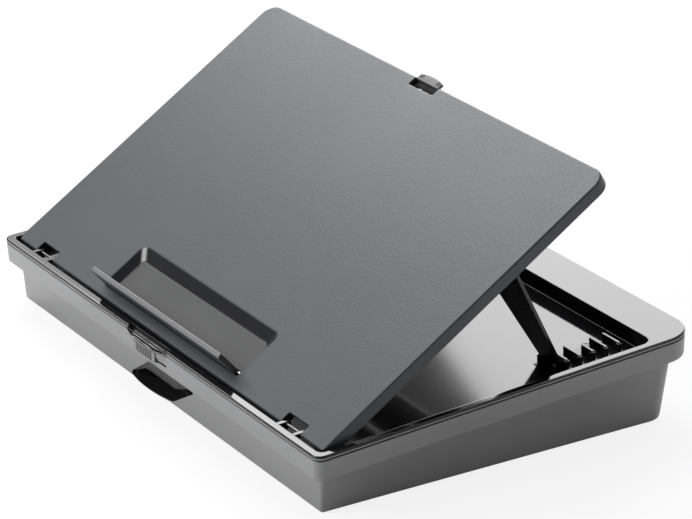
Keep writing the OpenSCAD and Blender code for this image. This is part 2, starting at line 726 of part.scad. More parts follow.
// Spring catch at the lid's rear edge
module catch() {
    tip = catch_back + catch_out;
    color("#303033") placed() lid_frame() translate([0, lid_l - catch_back, -catch_w]) difference() {
        union() {
            // Thumb tab with a rounded rear edge
            intersection() {
                block([-catch_half, -1.6, catch_w - 2.4], [catch_half, tip, catch_w - 0.2]);
                translate([0, tip - 42, 0]) cylinder(h = catch_w, r = 42, $fn = 120);
            }
            block([-catch_half, -1.6, -1], [catch_half, 1.6, catch_w - 2.3]);
            rod_x(-catch_half, catch_half, 0, 0, 1.6);
            // Tail that the spring bears on
            block([-4, -3.2, -1.4], [4, 0, -0.2]);
        }
        rod_x(-catch_half - 1, catch_half + 1, 0, 0, catch_pin_r + pin_fit);
        for (s = [-1, 1], i = [0:2])
            translate([s * (catch_half - 1.2 - i * 1.6) - 0.35, catch_back + 0.6, catch_w - 0.8])
                cube([0.7, catch_out, 2]);
    }
}
module catch_pin() {
    color("#9a9a9c") placed() lid_frame()
        rod_x(-catch_notch - cheek_t, catch_notch + cheek_t, lid_l - catch_back, -catch_w, catch_pin_r);
}
module catch_spring() {
    color("#9a9a9c") placed() lid_frame() {
        block([-2.5, lid_l - catch_notch_l - 12, -panel_t - 0.4],
            [2.5, lid_l - catch_notch_l - 1.8, -panel_t]);
    }
}

tub();
foot_pads();
slider_button();
slider_bolt();
tray();
strike();
rack_right();
rack_left();
rack_screws();
tray_hinge_pins();
lid();
lid_hinge_pins();
prop_rod();
rod_clips();
ledge();
ledge_studs();
prop_leg();
catch();
catch_pin();
catch_spring();
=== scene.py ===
import bpy
import numpy as np
from math import acos, atan, cos, hypot, pi, radians, sin
from mathutils import Matrix, Vector


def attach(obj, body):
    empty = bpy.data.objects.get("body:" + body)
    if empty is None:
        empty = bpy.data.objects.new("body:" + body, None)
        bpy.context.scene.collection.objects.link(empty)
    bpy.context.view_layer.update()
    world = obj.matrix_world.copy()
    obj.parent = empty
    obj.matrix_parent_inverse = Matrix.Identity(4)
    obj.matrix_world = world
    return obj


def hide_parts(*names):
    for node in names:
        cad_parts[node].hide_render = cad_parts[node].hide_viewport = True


# Lap desk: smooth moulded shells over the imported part, in the part's own frame and size.
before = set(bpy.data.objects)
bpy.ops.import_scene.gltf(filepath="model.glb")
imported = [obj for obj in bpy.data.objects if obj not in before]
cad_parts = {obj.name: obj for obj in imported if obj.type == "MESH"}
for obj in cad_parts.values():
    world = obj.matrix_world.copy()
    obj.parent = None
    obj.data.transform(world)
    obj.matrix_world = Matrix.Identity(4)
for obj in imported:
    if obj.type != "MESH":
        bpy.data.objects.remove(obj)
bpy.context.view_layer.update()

# Sizes in millimetres. Most are the part's own. Those of the pocket and its lip, the collar's draft, the
# tub's underside, the hinge arms, the button's channel, the catch and the corners of the ledge's well follow
# the photograph more closely.
BODY_W, BODY_D = 390.0, 280.0
SEAM_FRONT, SEAM_REAR = 40.2, 59.0
CORNER_FRONT_R, CORNER_REAR_R = 6, 21
COLLAR_H, COLLAR_DRAFT, COLLAR_WALL, COLLAR_ROUND = 13.7, 0.4, 2.8, 0.7
LOWER_TOP_IN, LOWER_BASE_IN, TUB_WALL, FOOT_H, FOOT_ROUND = 7.4, 10.5, 2.3, 0.35, 1.2
SHELF_X, SHELF_R, SHELF_OUT, SHELF_FADE = -2.0, 76.0, 4.6, 5.2
SHELF_CUT, SHELF_CUT_IN, SHELF_TOP, SHELF_ROUND = 23.0, 3.0, 0.3, 0.24
POCKET_LEFT, POCKET_RIGHT, POCKET_BACK, POCKET_FALL, POCKET_RISE = -38.5, 39.2, 24.0, 0.68, 0.6
LIP_X, LIP_R, LIP_H, LIP_Y, LIP_FLARE, LIP_ROUND = -15.0, 106.0, 2.8, 7.0, 0.55, 0.4
RIDGE_Y, RIDGE_Z = 11.6, 11.2
CHANNEL_X, CHANNEL_W, CHANNEL_TOP, CHANNEL_FOOT, CHANNEL_FLOOR = -12.3, 35.1, -1.3, -8.5, -1.7
SLOT_X, SLOT_W, SLOT_TOP, SLOT_FOOT = 5.7, 14.8, -7.7, -9.0
BUTTON_LEFT, BUTTON_RIGHT, BUTTON_Y, BUTTON_Z, BUTTON_HALF_H = -12, 13, -3.5, -4.95, 3.4
GROOVES, GROOVE_X, GROOVE_PITCH, GROOVE_W, GROOVE_D = 10, 11.0, 2.06, 1.1, 1.1
RIM_H, RIM_FRONT, RIM_SIDE, RIM_ROUND, FLANGE_H, DECK_D = 2.8, 5.2, 5.0, 0.9, 1.4, 32.0
WELL_DEPTH, TRAY_WALL, STEP_IN, SEAM_GAP = 10.7, 1.7, 1.4, 0.8
LID_W, LID_L, SKIRT_H, SKIRT_T, PANEL_T = 376.0, 239.0, 8.4, 2.2, 2.2
AXIS_V, AXIS_W, AXIS_BACK, AXIS_DROP = 1.6, 2.1, 5.18, 1.54
HINGE_X, HINGE_HALF, ARM_T, ARM_REACH, NOTCH_HALF, NOTCH_L = 152.6, 10.1, 3.0, 1.6, 10.8, 8.0
WELL_HALF, WELL_V0, WELL_V1, WELL_D = 82.5, 7.6, 45.0, 4.7
WELL_END_IN, WELL_BACK_IN, WELL_WALL, WELL_CORNER = 5.0, 8.0, 1.4, 5.5
LEDGE_L, LEDGE_T, LEDGE_V, LEDGE_W, LEDGE_LEAN, LEDGE_R = 20.1, 3.5, 10.3, 2.2, 8.2, 2.06
CATCH_NOTCH, CATCH_NOTCH_L, CATCH_HALF, CATCH_BACK, CATCH_W, CATCH_OUT = 12.6, 6.8, 11.6, 3.0, 4.4, 5.4
PROP_BACK, PROP_W, PROP_L, PROP_HALF, LUG_T, ROD_R = 74.5, 5.8, 94.45, 171.0, 3.0, 1.25
FINS, FIN_PITCH, FIN_T, RACK_BACK, RACK_BASE = 6, 10, 1.6, 12.73, 0.6
TOE_R, TOE_BACK, TOE_GAP = 1.5, 0.8, 0.2
REAR_X, REAR_L, REAR_R, REAR_PIN = 120.0, 26.0, 3.0, 1.5
SCREW_X, SCREW_Y, SCREW_HOLE = 158.2, 220.9, 1.25
PIN_FIT, PIN_HOLE, STUD_HOLE, CHEEK_T = 0.05, 0.85, 0.95, 2.4

TILT = atan((SEAM_REAR - SEAM_FRONT) / BODY_D)
SLOPE_D = BODY_D / cos(TILT)
REAR_Y, REAR_Z = SLOPE_D + REAR_R + 0.4, -5.0
Y_MID = (REAR_Y * cos(TILT) - REAR_Z * sin(TILT) + REAR_R - SHELF_OUT) / 2
WELL_Y1 = SLOPE_D - DECK_D
FLOOR_Z = RIM_H - WELL_DEPTH
HINGE_Y, HINGE_Z = RIM_FRONT + AXIS_BACK, RIM_H - AXIS_DROP
PROP_V = LID_L - PROP_BACK


def leaning(p):
    """The tray frame turned by TILT about X and lifted to the front of the seam, in millimetres."""
    x, y, z = p[..., 0], p[..., 1], p[..., 2]
    return np.stack([x, y * cos(TILT) - z * sin(TILT), SEAM_FRONT + y * sin(TILT) + z * cos(TILT)], -1)


def placed(p):
    """Millimetres from the body's front edge to metres from the part's origin."""
    return (p - np.array([0, Y_MID, 0])) * 0.001


def lid_angle():
    """The board's rise from the triangle of hinge, prop axis and toe, which stands before the second fin."""
    first = WELL_Y1 - RACK_BACK - (FINS - 1) * FIN_PITCH
    toe_y = first + FIN_PITCH - FIN_T / 2 - TOE_R - TOE_BACK
    toe_z = FLOOR_Z + RACK_BASE + TOE_R + TOE_GAP
    reach = hypot(PROP_V - AXIS_V, AXIS_W - PROP_W)
    toe = hypot(toe_y - HINGE_Y, toe_z - HINGE_Z)
    apex = acos((reach ** 2 + toe ** 2 - PROP_L ** 2) / (2 * reach * toe))
    return atan((toe_z - HINGE_Z) / (toe_y - HINGE_Y)) + apex + atan((PROP_W - AXIS_W) / (PROP_V - AXIS_V))


RISE = lid_angle()


def on_tray(p):
    """The tray frame in millimetres to metres from the part's origin."""
    return placed(leaning(p))


def on_board(p):
    """The board's frame, x across, v up the board, w square to it, turned by RISE about the hinge axis."""
    v, w = p[..., 1] - AXIS_V, p[..., 2] + AXIS_W
    return on_tray(np.stack([p[..., 0], HINGE_Y + v * cos(RISE) - w * sin(RISE),
                             HINGE_Z + v * sin(RISE) + w * cos(RISE)], -1))


def off_tray(p):
    """Metres from the part's origin back to the tray frame in millimetres, the inverse of on_tray."""
    y, z = p[:, 1] * 1000 + Y_MID, p[:, 2] * 1000 - SEAM_FRONT
    return np.stack([p[:, 0] * 1000, y * cos(TILT) + z * sin(TILT), z * cos(TILT) - y * sin(TILT)], -1)


def off_board(p):
    """The inverse of on_board."""
    t = off_tray(p) - [0, HINGE_Y, HINGE_Z]
    return np.stack([t[:, 0], t[:, 1] * cos(RISE) + t[:, 2] * sin(RISE) + AXIS_V,
                     t[:, 2] * cos(RISE) - t[:, 1] * sin(RISE) - AXIS_W], -1)


# Mesh helpers
def mesh_object(name, points, quads, caps):
    """A mesh from points in metres, an (n, 4) array of corners and closed rows of corners for flat caps."""
    mesh = bpy.data.meshes.new(name)
    corners = np.concatenate([quads.ravel(), *caps]).astype(np.int32)
    sizes = np.array([4] * len(quads) + [len(c) for c in caps])
    mesh.vertices.add(len(points))
    mesh.vertices.foreach_set("co", np.ascontiguousarray(points, np.float32).ravel())
    mesh.loops.add(len(corners))
    mesh.loops.foreach_set("vertex_index", corners)
    mesh.polygons.add(len(sizes))
    mesh.polygons.foreach_set("loop_start", np.concatenate([[0], np.cumsum(sizes)[:-1]]).astype(np.int32))
    mesh.update(calc_edges=True)
    mesh.validate()
    made = bpy.data.objects.new(name, mesh)
    bpy.context.collection.objects.link(made)
    return made


def skinned(name, rings):
    """A closed skin through rings, an (m, n, 3) array. Each ring joins the next, and the ends are capped."""
    m, n = rings.shape[:2]
    k = np.arange(m * n).reshape(m, n)
    a, b = k[:-1], k[1:]
    quads = np.stack([a, np.roll(a, -1, 1), np.roll(b, -1, 1), b], -1).reshape(-1, 4)
    return mesh_object(name, rings.reshape(-1, 3), quads, [k[0][::-1], k[-1]])


def at_each(xs, yz):
    """Rings from an (m, n, 2) array of sections in y and z, one section at each x."""
    return np.concatenate([np.broadcast_to(xs[:, None, None], yz.shape[:2] + (1,)), yz], -1)


def along(xs, rows):
    """Rings from rows of y and z, each row a pair of arrays that follow x."""
    return at_each(xs, np.array([np.stack(row, -1) for row in rows]).transpose(1, 0, 2))


def carried(name, contour, x0, x1, place, edge=0.0):
    """A contour in y and z, anticlockwise, carried along X from x0 to x1. Its ends round off over an edge
    radius: x = x0 + edge (1 - cos t) while the contour shrinks about its middle by edge (1 - sin t)."""
    c = np.asarray(contour, float)
    mid = c.mean(0)
    turn = np.linspace(0, pi / 2, 5) if edge else np.array([pi / 2])
    step = edge * (1 - np.cos(turn)) if edge else np.zeros(1)
    grow = 1 - edge * (1 - np.sin(turn)) / np.abs(c - mid).max()
    xs = np.concatenate([x0 + step, x1 - step[::-1]])
    yz = mid + (c - mid) * np.concatenate([grow, grow[::-1]])[:, None, None]
    return skinned(name, place(at_each(xs, yz)))


def box_yz(y0, y1, z0, z1):
    return [(y0, z0), (y1, z0), (y1, z1), (y0, z1)]


def circle_yz(y, z, r, n=40):
    a = np.arange(n) * 2 * pi / n
    return np.column_stack([y + r * np.cos(a), z + r * np.sin(a)])


def span(side, near, far):
    """The two ends in x of something on the left (side -1) or the right (side 1), lesser first."""
    return sorted((side * near, side * far))


def joined(parts):
    with bpy.context.temp_override(active_object=parts[0], selected_editable_objects=parts):
        bpy.ops.object.join()
    return parts[0]


def read_threes(items, name):
    """One vector of every vertex or face of a mesh, as an (n, 3) array."""
    values = np.empty(len(items) * 3)
    items.foreach_get(name, values)
    return values.reshape(-1, 3)


def face_middles(piece):
    return read_threes(piece.data.polygons, "center")


def face_normals(piece):
    return read_threes(piece.data.polygons, "normal")


def apart(parts):
    """Shapes sorted into groups in which no two boxes touch, so that each group can be one operand."""
    groups = []
    for part in parts:
        points = read_threes(part.data.vertices, "co")
        low, high = points.min(0), points.max(0)
        for group in groups:
            if all((low > h).any() or (high < l).any() for _, l, h in group):
                group.append((part, low, high))
                break
        else:
            groups.append([(part, low, high)])
    return [[part for part, _, _ in group] for group in groups]


def carve(piece, add=(), cut=()):
    """Adds the closed shapes in add to a piece and takes those in cut from it, which leaves a plain mesh."""
    steps = [(g, "UNION") for g in apart(add)] + [(g, "DIFFERENCE") for g in apart(cut)]
    for group, operation in steps:
        tool = joined(group) if len(group) > 1 else group[0]
        step = piece.modifiers.new(operation.lower(), "BOOLEAN")
        step.operation, step.object, step.solver = operation, tool, "EXACT"
        graph = bpy.context.evaluated_depsgraph_get()
        result = bpy.data.meshes.new_from_object(piece.evaluated_get(graph), depsgraph=graph)
        piece.modifiers.clear()
        piece.data = result
        bpy.data.objects.remove(tool)
    return piece


def finished(piece, material, body, slot, *nodes, sharp=40):
    """Smooth shading with sharp creases, normals weighted by area so that flat faces stay flat, and the
    piece's place in the frame."""
    mesh = piece.data
    mesh.materials.clear()
    mesh.materials.append(material)
    mesh.polygons.foreach_set("use_smooth", np.ones(len(mesh.polygons), bool))
    mesh.polygons.foreach_set("material_index", np.zeros(len(mesh.polygons), np.int32))
    mesh.set_sharp_from_angle(angle=radians(sharp))
    weight = piece.modifiers.new("flat_faces", "WEIGHTED_NORMAL")
    weight.keep_sharp, weight.weight = True, 60
    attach(piece, body)
    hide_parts(*nodes)
    return piece


def lined(piece, material, chosen):
    """Gives the chosen faces of a finished piece a material of their own."""
    mesh = piece.data
    mesh.materials.append(material)
    index = np.empty(len(mesh.polygons), np.int32)
    mesh.polygons.foreach_get("material_index", index)
    index[chosen] = len(mesh.materials) - 1
    mesh.polygons.foreach_set("material_index", index)


def within(value, low, high):
    return (value > low) & (value < high)


# Outlines
MID = np.arange(-64, 64.1, 0.8)
ROUND = np.linspace(0, pi / 2, 6)
FRONT_N = len(MID) + 24


def quarter(r):
    """Steps round an edge of radius r, a pair for each: r (1 - sin t), which falls to 0, and r (1 - cos t),
    which grows from 0."""
    return [(r * (1 - sin(t)), r * (1 - cos(t))) for t in ROUND]


def plan(half, y0, y1, rf, rr, mid=MID):
    """Plan outline, anticlockwise from the front's left end, with corner radius rf in front and rr behind.
    If mid is MID, its first FRONT_N points are the front."""
    out = mid[-1] + (half - rf - mid[-1]) * np.linspace(0, 1, 13)[1:]
    fx = np.concatenate([-out[::-1], mid, out])
    front = np.column_stack([fx, np.full(fx.shape, y0)])
    a = np.linspace(-pi / 2, 0, 12)[1:-1]
    corner_f = np.column_stack([half - rf + rf * np.cos(a), y0 + rf + rf * np.sin(a)])
    sy = np.linspace(y0 + rf, y1 - rr, 20)
    side = np.column_stack([np.full(sy.shape, half), sy])
    a = np.linspace(0, pi / 2, 20)[1:-1]
    corner_r = np.column_stack([half - rr + rr * np.cos(a), y1 - rr + rr * np.sin(a)])
    rx = np.linspace(half - rr, rr - half, 30)
    rear = np.column_stack([rx, np.full(rx.shape, y1)])
    right = np.concatenate([corner_f, side, corner_r])
    left = (right * [-1, 1])[::-1]
    return np.concatenate([front, right, rear, left])


def ring(outline, z):
    return np.column_stack([outline, np.full(len(outline), z)])


def inset(margin, depth):
    """The seam outline drawn in by a margin, as the part's source does it."""
    return plan(BODY_W / 2 - margin, margin, depth - margin,
                max(CORNER_FRONT_R - margin * 0.4, 1.5), max(CORNER_REAR_R - margin * 0.6, 3))


def soft_min(a, b, k):
    """The lesser of a and b, with a fillet of about k where they cross."""
    h = np.clip(0.5 + 0.5 * (b - a) / k, 0, 1)
    return b + (a - b) * h - k * h * (1 - h)


def fade(x, inner, outer):
    """1 out to inner on both sides of 0, then t^2 (3 - 2 t) down to 0 at outer."""
    t = np.clip((outer - np.abs(x)) / (outer - inner), 0, 1)
    return t * t * (3 - 2 * t)


def lip_y(x):
    """Front of the finger pocket's lip: y = LIP_Y + (x - LIP_X)^2 / (2 LIP_R)."""
    return LIP_Y + (np.clip(x, LIP_X - 45, LIP_X + 45) - LIP_X) ** 2 / (2 * LIP_R)


def swell_y(x, z):
    """Front of the swell: an arc about (SHELF_X, SHELF_R - SHELF_OUT). Its radius is SHELF_R at the seam and
    shrinks with the depth below it."""
    r = SHELF_R + np.minimum(z, 0) * SHELF_FADE / COLLAR_H
    return SHELF_R - SHELF_OUT - np.sqrt(r * r - np.clip(x - SHELF_X, -60, 60) ** 2)


def wall_y(z):
    """Front of the lower wall at a height z, straight from the foot to the underside of the collar."""
    top = leaning(np.array([0, LOWER_TOP_IN, -COLLAR_H]))
    return LOWER_BASE_IN + (top[1] - LOWER_BASE_IN) * (z - FOOT_H) / (top[2] - FOOT_H)


# Tub
def tub_shell():
    """Rings from the tub's underside up its outside, over the collar and down its inside. The lower wall is
    the straight line from a level foot outline to an outline on the leaning seam plane."""
    def level(margin, z):
        return ring(inset(margin, BODY_D), z)

    def seam(margin, z):
        return leaning(ring(inset(margin, SLOPE_D), z))

    def swollen(margin, z, edge=0.0):
        p = ring(inset(margin + edge, SLOPE_D), z)
        x = p[:FRONT_N, 0]
        p[:FRONT_N, 1] = soft_min(p[:FRONT_N, 1], swell_y(x, z) + edge, 0.5)
        return leaning(p)

    def lipped(p, z, edge=0.0):
        p = p.copy()
        lip = lip_y(p[:FRONT_N, 0]) + (LIP_H - z) * LIP_FLARE + edge
        p[:FRONT_N, 1] = soft_min(p[:FRONT_N, 1], lip, 0.6)
        return p

    foot, top = level(LOWER_BASE_IN, FOOT_H), seam(LOWER_TOP_IN, -COLLAR_H)

    def wall(z):
        t = (z - FOOT_H) / (top[0, 2] - FOOT_H)
        return foot + (top - foot) * t

    def draft(z):
        return COLLAR_DRAFT * (-z - SEAM_GAP) / (COLLAR_H - SEAM_GAP)

    rings = [lipped(level(LOWER_BASE_IN + s, FOOT_H + c), FOOT_H, s) for s, c in quarter(FOOT_ROUND)[:-1]]
    rings += [lipped(wall(z), z) for z in (1.8, 2.3)]
    rings += [lipped(wall(LIP_H - s), LIP_H, c) for s, c in quarter(LIP_ROUND)[1:]]
    rings += [wall(z) for z in (2.86, 4, 7, 10, 13, 16, 19, 22, 24.5, 26.2)]
    rings += [seam(LOWER_TOP_IN - c, -COLLAR_H - s) for s, c in quarter(COLLAR_ROUND)]
    rings += [swollen(draft(-COLLAR_H + c), -COLLAR_H + c, s) for s, c in quarter(COLLAR_ROUND)]
    rings += [swollen(draft(z), z) for z in (-12, -10.5, -9, -7.5, -6, -4.5, -3.1, -1.9)]
    rings += [swollen(draft(-SEAM_GAP - 0.5), -SEAM_GAP - s, c) for s, c in quarter(0.5)]
    step = -COLLAR_H + TUB_WALL
    rings += [seam(COLLAR_WALL, -SEAM_GAP), seam(COLLAR_WALL, -6), seam(COLLAR_WALL, step + 0.8)]
    rings += [seam(COLLAR_WALL + 0.8, step), seam(LOWER_TOP_IN + TUB_WALL - 0.6, step)]
    rings += [seam(LOWER_TOP_IN + TUB_WALL, step - 0.6)]
    inner, floor = LOWER_BASE_IN + TUB_WALL, FOOT_H + TUB_WALL
    rings += [level(inner + c, floor + s) for s, c in quarter(2)]
    shell = skinned("tub_shell", placed(np.array(rings)))

    low, high, sunk, rear = 1.3, 27.2, 0.7, POCKET_BACK + TUB_WALL
    section = [(wall_y(low) + sunk, low), (rear, low), (rear, high), (wall_y(high) + sunk, high)]
    housing = carried("housing", section, POCKET_LEFT - TUB_WALL, POCKET_RIGHT + TUB_WALL, placed, 0.8)
    sides, half = (-REAR_X, REAR_X), REAR_L / 4 - 0.3
    knuckles = [carried("knuckle", tub_knuckle(), mid - half, mid + half, on_tray, 0.3) for mid in sides]
    bores = [rear_bore(mid) for mid in sides]
    corner, right = 0.4, CHANNEL_X + CHANNEL_W
    section = [(-20, CHANNEL_FOOT), (CHANNEL_FLOOR - corner, CHANNEL_FOOT),
               (CHANNEL_FLOOR, CHANNEL_FOOT + corner), (CHANNEL_FLOOR, CHANNEL_TOP - corner),
               (CHANNEL_FLOOR - corner, CHANNEL_TOP), (-20, CHANNEL_TOP)]
    channel = carried("channel", section, CHANNEL_X, right, on_tray)
    bolt_space = carried("bolt_space", box_yz(1.4, 3.8, CHANNEL_FOOT, 5), CHANNEL_X - 1, right + 1, on_tray)
    section = box_yz(-3.0, 3.0, SLOT_FOOT, SLOT_TOP)
    stem_slot = carried("stem_slot", section, SLOT_X, SLOT_X + SLOT_W, on_tray)
    return carve(shell, [housing, *knuckles], [pocket_cavity(), channel, *bores, bolt_space, stem_slot])


def tub_knuckle():
    """A tongue behind the collar with a half-round end about the rear hinge axis."""
    a = np.linspace(-pi / 2, pi / 2, 16)
    arc = np.column_stack([REAR_Y + REAR_R * np.cos(a), REAR_Z + REAR_R * np.sin(a)])
    return np.concatenate([[(SLOPE_D - 2.4, REAR_Z - REAR_R)], arc, [(SLOPE_D - 2.4, REAR_Z + REAR_R)]])


def rear_bore(mid):
    return carried("bore", circle_yz(REAR_Y, REAR_Z, REAR_PIN + PIN_FIT), mid - 20, mid + 20, on_tray)


def pocket_cavity():
    """Hollow behind the lip, one contour in y and z for each x. Its top edge falls to the left and its
    bottom edge rises to the right, both in straight lines. A band slopes in from the top to a ridge, and
    below that the hollow is deep."""
    x = np.linspace(POCKET_LEFT, POCKET_RIGHT, 110)
    one = np.ones_like(x)
    floor, roof = LIP_H - 0.45 * one, 26.75 * one
    rising = 3.8 + POCKET_RISE * (x - 14.7)
    falling = 3.9 + POCKET_FALL * (x - POCKET_LEFT)
    low = -soft_min(-floor, -rising, 1.5)
    top = np.maximum(soft_min(roof, falling, 3.0), low + 0.8)
    ridge = np.clip(RIDGE_Z, low + 0.35 * (top - low), low + 0.75 * (top - low))
    t = np.clip((ridge - low - 2) / 4, 0, 1)
    deep = RIDGE_Y + 0.8 + (POCKET_BACK - RIDGE_Y - 0.8) * t * t * (3 - 2 * t)
    edge = wall_y(top)
    slope = np.minimum(RIDGE_Y, edge + 0.9 + 0.28 * (top - ridge))
    rows = [(-3 * one, low), (np.minimum(edge + 1, deep - 1.2), low), (deep - 0.8, low),
            (deep, low + 0.1 * (ridge - low)), (deep, low + 0.9 * (ridge - low)),
            (deep - 0.5, ridge + 0.01), (slope + 0.3, ridge + 0.02),
            (slope, ridge + 0.08 * (top - ridge)), (edge + 0.9, top - 0.12 * (top - ridge)),
            (edge + 0.3, top), (-3 * one, top)]
    return skinned("pocket", placed(along(x, rows)))


# Tray
def tray_shell():
    """Rings from the underside of the well, out under the rim, over it and down into the well.
    Over the thumb shelf the rim's rings drop to the shelf and spread out to its arc, by a mask on x."""
    x = inset(0, SLOPE_D)[:FRONT_N, 0]
    cut = fade(x - SHELF_X, SHELF_CUT - 0.5, SHELF_CUT + 0.3)
    arc = swell_y(x, 0)

    def front(p, y, z):
        p[:FRONT_N, 1] = p[:FRONT_N, 1] * (1 - cut) + y * cut
        p[:FRONT_N, 2] = p[:FRONT_N, 2] * (1 - cut) + z * cut
        return p

    def ridge(y):
        """Three grip ridges, each a bell curve in y that ends in x where its half width is reached."""
        high = np.zeros_like(y)
        for at, middle, half in ((1.9, -2, 19), (-0.5, -3, 16), (-2.9, -4.3, 12.5)):
            high += 0.42 * np.exp(-((y - at) / 0.30) ** 2) * fade(x - middle, half - 0.6, half + 0.6)
        return high

    def well(out, z):
        return ring(plan(BODY_W / 2 - RIM_SIDE + out, RIM_FRONT - out, WELL_Y1 + out,
                         max(4 + out, 1.2), max(8 + out, 2)), z)

    rings = [well(TRAY_WALL - s, FLOOR_Z - TRAY_WALL + c) for s, c in quarter(1.5)]
    rings.append(well(TRAY_WALL, -SEAM_GAP - 0.01))
    for z in (-SEAM_GAP, -0.3, SHELF_TOP - 0.12):
        p = ring(inset(STEP_IN, SLOPE_D), z)
        p[:FRONT_N, 1] = soft_min(p[:FRONT_N, 1], arc + (0.12 if z == -SEAM_GAP else 0), 0.3)
        rings.append(front(p, arc, min(z, 0.0)))
    for t, (s, c) in zip(ROUND, quarter(0.35)):
        p = ring(inset(s, SLOPE_D), 0.2 + c)
        p[:FRONT_N, 1] = np.minimum(p[:FRONT_N, 1], arc)
        rings.append(front(p, arc, 0.02 + 0.02 * t))
    line = 0.22
    for z, e in ((0.9, 0), (FLANGE_H - 0.12, 0), (FLANGE_H - 0.02, line), (FLANGE_H + 0.1, line),
                 (FLANGE_H + 0.2, 0)):
        rings.append(front(ring(inset(e, SLOPE_D), z), arc, 0.06 + 0.01 * z))
    for (s, c), (shelf_s, shelf_c) in zip(quarter(RIM_ROUND), quarter(SHELF_ROUND)):
        rings.append(front(ring(inset(c, SLOPE_D), RIM_H - s), arc + shelf_c, SHELF_TOP - shelf_s))
    for t in np.linspace(0, 1, 44)[1:]:
        p = ring(inset(RIM_ROUND + (SHELF_CUT_IN - RIM_ROUND) * t, SLOPE_D), RIM_H)
        y = arc + SHELF_ROUND + (SHELF_CUT_IN - arc - SHELF_ROUND) * t
        rings.append(front(p, y, SHELF_TOP + ridge(y)))
    rings.append(front(ring(inset(SHELF_CUT_IN + 0.05, SLOPE_D), RIM_H), SHELF_CUT_IN + 0.12, RIM_H - 0.3))
    rings.append(ring(inset(SHELF_CUT_IN + 0.35, SLOPE_D), RIM_H))
    rings.append(well(1.2, RIM_H))
    rings += [well(s, RIM_H - c) for s, c in quarter(0.5)]
    rings += [well(-0.1, -2.5)]
    rings += [well(-0.2 - c, FLOOR_Z + s) for s, c in quarter(0.6)]
    shell = skinned("tray_shell", on_tray(np.array(rings)))

    a = np.linspace(-pi / 2, pi / 2, 14)
    tip = np.column_stack([HINGE_Y + ARM_REACH + AXIS_DROP * np.cos(a), HINGE_Z + AXIS_DROP * np.sin(a)])
    arm = np.concatenate([[(RIM_FRONT - 1, HINGE_Z - AXIS_DROP)], tip, [(RIM_FRONT - 1, RIM_H - 0.02)]])
    a = np.linspace(pi / 4, -pi, 22)[::-1]
    turn = np.column_stack([REAR_Y + REAR_R * np.cos(a), REAR_Z + REAR_R * np.sin(a)])
    knuckle = np.concatenate([turn, [(SLOPE_D + 1.4, 1.3), (SLOPE_D - 1, 1.3), (SLOPE_D - 1, 0.3),
                                     (SLOPE_D + 0.4, 0.3)]])
    add, cut_out = [], []
    for s in (-1, 1):
        for k in (-1, 1):
            mid = s * HINGE_X + k * (HINGE_HALF - ARM_T / 2)
            add.append(carried("arm", arm, mid - ARM_T / 2, mid + ARM_T / 2, on_tray, 0.3))
            mid = s * REAR_X + k * REAR_L * 3 / 8
            add.append(carried("tray_knuckle", knuckle, mid - REAR_L / 8, mid + REAR_L / 8, on_tray, 0.25))
        mid, hole = s * HINGE_X, circle_yz(HINGE_Y, HINGE_Z, PIN_HOLE, 24)
        cut_out.append(carried("arm_bore", hole, mid - 12, mid + 12, on_tray))
        cut_out.append(rear_bore(s * REAR_X))
        hole = circle_yz(s * SCREW_X, SCREW_Y, SCREW_HOLE, 24)
        through = np.array([ring(hole, FLOOR_Z - TRAY_WALL - 1), ring(hole, FLOOR_Z + 1)])
        cut_out.append(skinned("screw_hole", on_tray(through)))
    recess = plan(CATCH_NOTCH, WELL_Y1 - 1, WELL_Y1 + CATCH_OUT + 1.4, 0.6, 2.0, np.linspace(-4, 4, 5))
    recess = np.array([ring(recess, RIM_H - 3.2), ring(recess, RIM_H + 5)])
    cut_out.append(skinned("catch_recess", on_tray(recess)))
    return carve(shell, add, cut_out)


